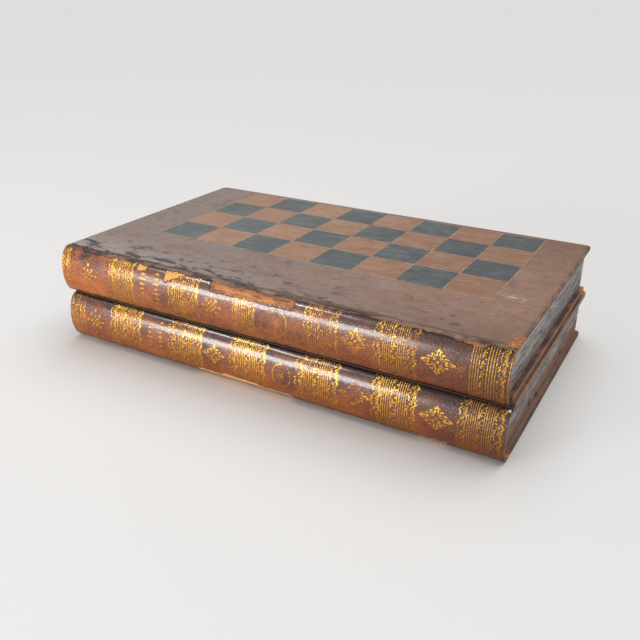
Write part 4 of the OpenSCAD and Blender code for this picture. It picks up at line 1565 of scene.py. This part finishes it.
class GAMESBOX_OT_cups(bpy.types.Operator):
    """Turn the two leather dice cups"""
    bl_idname = "games_box.cups"
    bl_label = "Dice Cups"
    # Places of the gilt rings as shares of the height, and half their width
    rings, ring = (0.16, 0.84), 0.4 * MM

    def execute(self, context):
        look = context.scene.games_box_game
        leather = cup_paint(look)
        gold = bpy.data.materials["tooled_fillet"]
        for place, way in (("front", -1), ("back", 1)):
            node = f"dice_cup_{place}"
            low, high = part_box(node)
            radius, tall = (high.x - low.x) / 2, high.y - low.y
            foot = Vector(((low.x + high.x) / 2, high.y if way < 0 else low.y,
                           (low.z + high.z) / 2))
            bm = lathe(self.profile(radius, tall, look), foot, (0, way, 0), look.turns)
            bm.normal_update()
            for face in bm.faces:
                away = face.calc_center_median() - foot
                gilt = any(abs(abs(away.y) - part * tall) < self.ring for part in self.rings)
                outside = math.hypot(away.x, away.z) > radius - look.wall
                face.material_index = 1 if gilt and outside else 0
            finish_piece(bm, f"{node}_leather", "lower_volume", [leather, gold],
                         [node])
        return {"FINISHED"}

    def profile(self, radius, tall, look):
        """Outline of a cup: rounded foot, waist between two rings, rolled lip, hollow inside."""
        wall, waist = look.wall, radius - look.waist
        rings = [(waist + out, part * tall + side * self.ring) for part in self.rings
                 for side, out in ((-1, 0), (0, 0.12 * MM), (1, 0))]
        return [
            (0, 0.3 * MM), (radius - 2 * MM, 0), (radius - 0.5 * MM, 0.4 * MM),
            (radius, 1.6 * MM), (radius, 2 * wall - 0.6 * MM), (radius - 0.3 * MM, 2 * wall),
            (waist, 3 * wall), *rings, (waist, tall - 3 * wall),
            (radius - 0.3 * MM, tall - 2 * wall), (radius, tall - 2 * wall + 0.6 * MM),
            (radius, tall - 1.4 * MM), (radius - 0.5 * MM, tall - 0.3 * MM),
            (radius - wall / 2, tall), (radius - wall + 0.3 * MM, tall - 0.3 * MM),
            (radius - wall, tall - 1.4 * MM), (radius - wall, wall + 1.5 * MM),
            (radius - wall - 1.5 * MM, wall), (0, wall),
        ]


class GAMESBOX_OT_dice(bpy.types.Operator):
    """Round off the dice and ink their pips"""
    bl_idname = "games_box.dice"
    bl_label = "Dice"
    # Largest face of a pip, and the lengths between which its edges lie
    largest_pip, pip_edges = (2.4 * MM) ** 2, (0.2 * MM, 2.2 * MM)

    def execute(self, context):
        look = context.scene.games_box_game
        bm = merged_copy("dice")
        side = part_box("dice")[1].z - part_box("dice")[0].z
        outer = [edge for edge in sharp_edges(bm, 60) if edge.calc_length() > side * 0.9]
        round_edges(bm, outer, look.dice_edge, 4)
        for face in bm.faces:
            if face.calc_area() < self.largest_pip and self.in_pip(face):
                face.material_index = 1
        finish_piece(bm, "dice_bone", "lower_volume", [bone_paint(look), pip_paint(look)],
                     ["dice"])
        return {"FINISHED"}

    def in_pip(self, face):
        """A pip's floor or wall: none of its edges is as long or short as a rounded edge's."""
        shortest, longest = self.pip_edges
        return all(len(edge.link_faces) == 2 and shortest < edge.calc_length() < longest
                   for edge in face.edges)


# Studio

class GAMESBOX_OT_studio(bpy.types.Operator):
    """Set the pale floor, the lights and the camera"""
    bl_idname = "games_box.studio"
    bl_label = "Studio"
    # The point that the lights face, and the place and the size of each
    aim = Vector((0.02, -0.02, 0.05))
    key_place, key_size = Vector((-0.92, -1.77, 0.25)), (0.9, 0.44)
    strip_place, strip_size = Vector((-0.78, -0.79, 1.15)), (0.6, 0.09)
    overhead_place, overhead_angle = Vector((0.12, 0.5, 1.6)), math.radians(70)
    # The camera's place, its axes to the right, up and back, and its sensor's width
    camera_place = Vector((0.32071, -0.58384, 0.32360))
    camera_axes = Matrix(((0.86883, 0.49508, 0.00524), (-0.21154, 0.36163, 0.90800),
                          (0.44764, -0.79001, 0.41893)))
    sensor = 36

    def execute(self, context):
        look, scene = context.scene.games_box_studio, context.scene
        self.lay_floor(look)
        scene.world = self.surround(look)
        self.lamp("key_light", "AREA", look.key, self.key_place, shape="RECTANGLE",
                  size=self.key_size[0], size_y=self.key_size[1])
        overhead = self.lamp("overhead_light", "SUN", look.sun, self.overhead_place,
                             angle=self.overhead_angle)
        overhead.visible_glossy = False
        strip = self.lamp("strip_light", "AREA", look.strip, self.strip_place,
                          shape="RECTANGLE", size=self.strip_size[0], size_y=self.strip_size[1])
        strip.visible_diffuse = False
        camera = bpy.data.cameras.new("camera")
        camera.lens, camera.sensor_width, camera.clip_start = look.lens, self.sensor, 10 * MM
        view = bpy.data.objects.new("camera", camera)
        view.matrix_world = (Matrix.Translation(self.camera_place)
                             @ self.camera_axes.transposed().to_4x4())
        scene.collection.objects.link(view)
        scene.camera = view
        scene.view_settings.view_transform = "Standard"
        return {"FINISHED"}

    @staticmethod
    def lay_floor(look):
        bm = bmesh.new()
        bmesh.ops.create_grid(bm, x_segments=2, y_segments=2, size=look.spread)
        mesh = bpy.data.meshes.new("studio_floor")
        bm.to_mesh(mesh)
        bm.free()
        floor = bpy.data.objects.new("studio_floor", mesh)
        bpy.context.scene.collection.objects.link(floor)
        paint = Paint("studio_floor")
        paint.ground(paint.noise(3, 2) * 0.06, tuple(look.floor), FLOOR_SHADE)
        mesh.materials.append(paint.coat(0.9, specular_ior_level=0.2))

    @staticmethod
    def surround(look):
        """Soft light from all round, which the camera sees as a pale backdrop."""
        world = bpy.data.worlds.new("studio")
        world.use_nodes = True
        tree = world.node_tree
        sky = tree.nodes["Background"]
        sky.inputs["Color"].default_value = (1, 0.985, 0.97, 1)
        ray = tree.nodes.new("ShaderNodeLightPath")
        strength = tree.nodes.new("ShaderNodeMapRange")
        strength.inputs["To Min"].default_value = look.fill
        strength.inputs["To Max"].default_value = look.backdrop
        tree.links.new(ray.outputs["Is Camera Ray"], strength.inputs["Value"])
        tree.links.new(strength.outputs["Result"], sky.inputs["Strength"])
        return world

    def lamp(self, name, kind, power, place, **settings):
        """Hangs a light at a place, turned to the box."""
        light = bpy.data.lights.new(name, kind)
        light.energy = power
        for setting, value in settings.items():
            setattr(light, setting, value)
        made = bpy.data.objects.new(name, light)
        made.location = place
        made.rotation_euler = (self.aim - place).to_track_quat("-Z", "Y").to_euler()
        bpy.context.scene.collection.objects.link(made)
        return made


# Panel and registration

SETTINGS = {
    "games_box_spine": SpineSettings, "games_box_gilding": GildingSettings,
    "games_box_board": BoardSettings, "games_box_block": BlockSettings,
    "games_box_tray": TraySettings, "games_box_fitting": FittingSettings,
    "games_box_game": GameSettings, "games_box_studio": StudioSettings,
}
OPERATORS = (
    GAMESBOX_OT_studio, GAMESBOX_OT_spines, GAMESBOX_OT_gilding, GAMESBOX_OT_boards,
    GAMESBOX_OT_turnovers, GAMESBOX_OT_field, GAMESBOX_OT_blocks, GAMESBOX_OT_rims,
    GAMESBOX_OT_trays, GAMESBOX_OT_fittings, GAMESBOX_OT_counters, GAMESBOX_OT_cups,
    GAMESBOX_OT_dice,
)


class GAMESBOX_PT_panel(bpy.types.Panel):
    """Lists the settings and the pieces of the games box"""
    bl_idname = "GAMESBOX_PT_panel"
    bl_label = "Games Box"
    bl_space_type = "VIEW_3D"
    bl_region_type = "UI"
    bl_category = "Games Box"

    def draw(self, context):
        for operator in OPERATORS:
            self.layout.operator(operator.bl_idname)
        for name in SETTINGS:
            group = getattr(context.scene, name)
            box = self.layout.box()
            for field in group.__annotations__:
                box.prop(group, field)


def register():
    for settings in SETTINGS.values():
        bpy.utils.register_class(settings)
    for name, settings in SETTINGS.items():
        setattr(bpy.types.Scene, name, PointerProperty(type=settings))
    for item in (*OPERATORS, GAMESBOX_PT_panel):
        bpy.utils.register_class(item)


def unregister():
    for item in reversed((*OPERATORS, GAMESBOX_PT_panel)):
        bpy.utils.unregister_class(item)
    for name in SETTINGS:
        delattr(bpy.types.Scene, name)
    for settings in reversed(SETTINGS.values()):
        bpy.utils.unregister_class(settings)


def main():
    register()
    for operator in OPERATORS:
        group, name = operator.bl_idname.split(".")
        getattr(getattr(bpy.ops, group), name)()


if __name__ == "__main__":
    main()
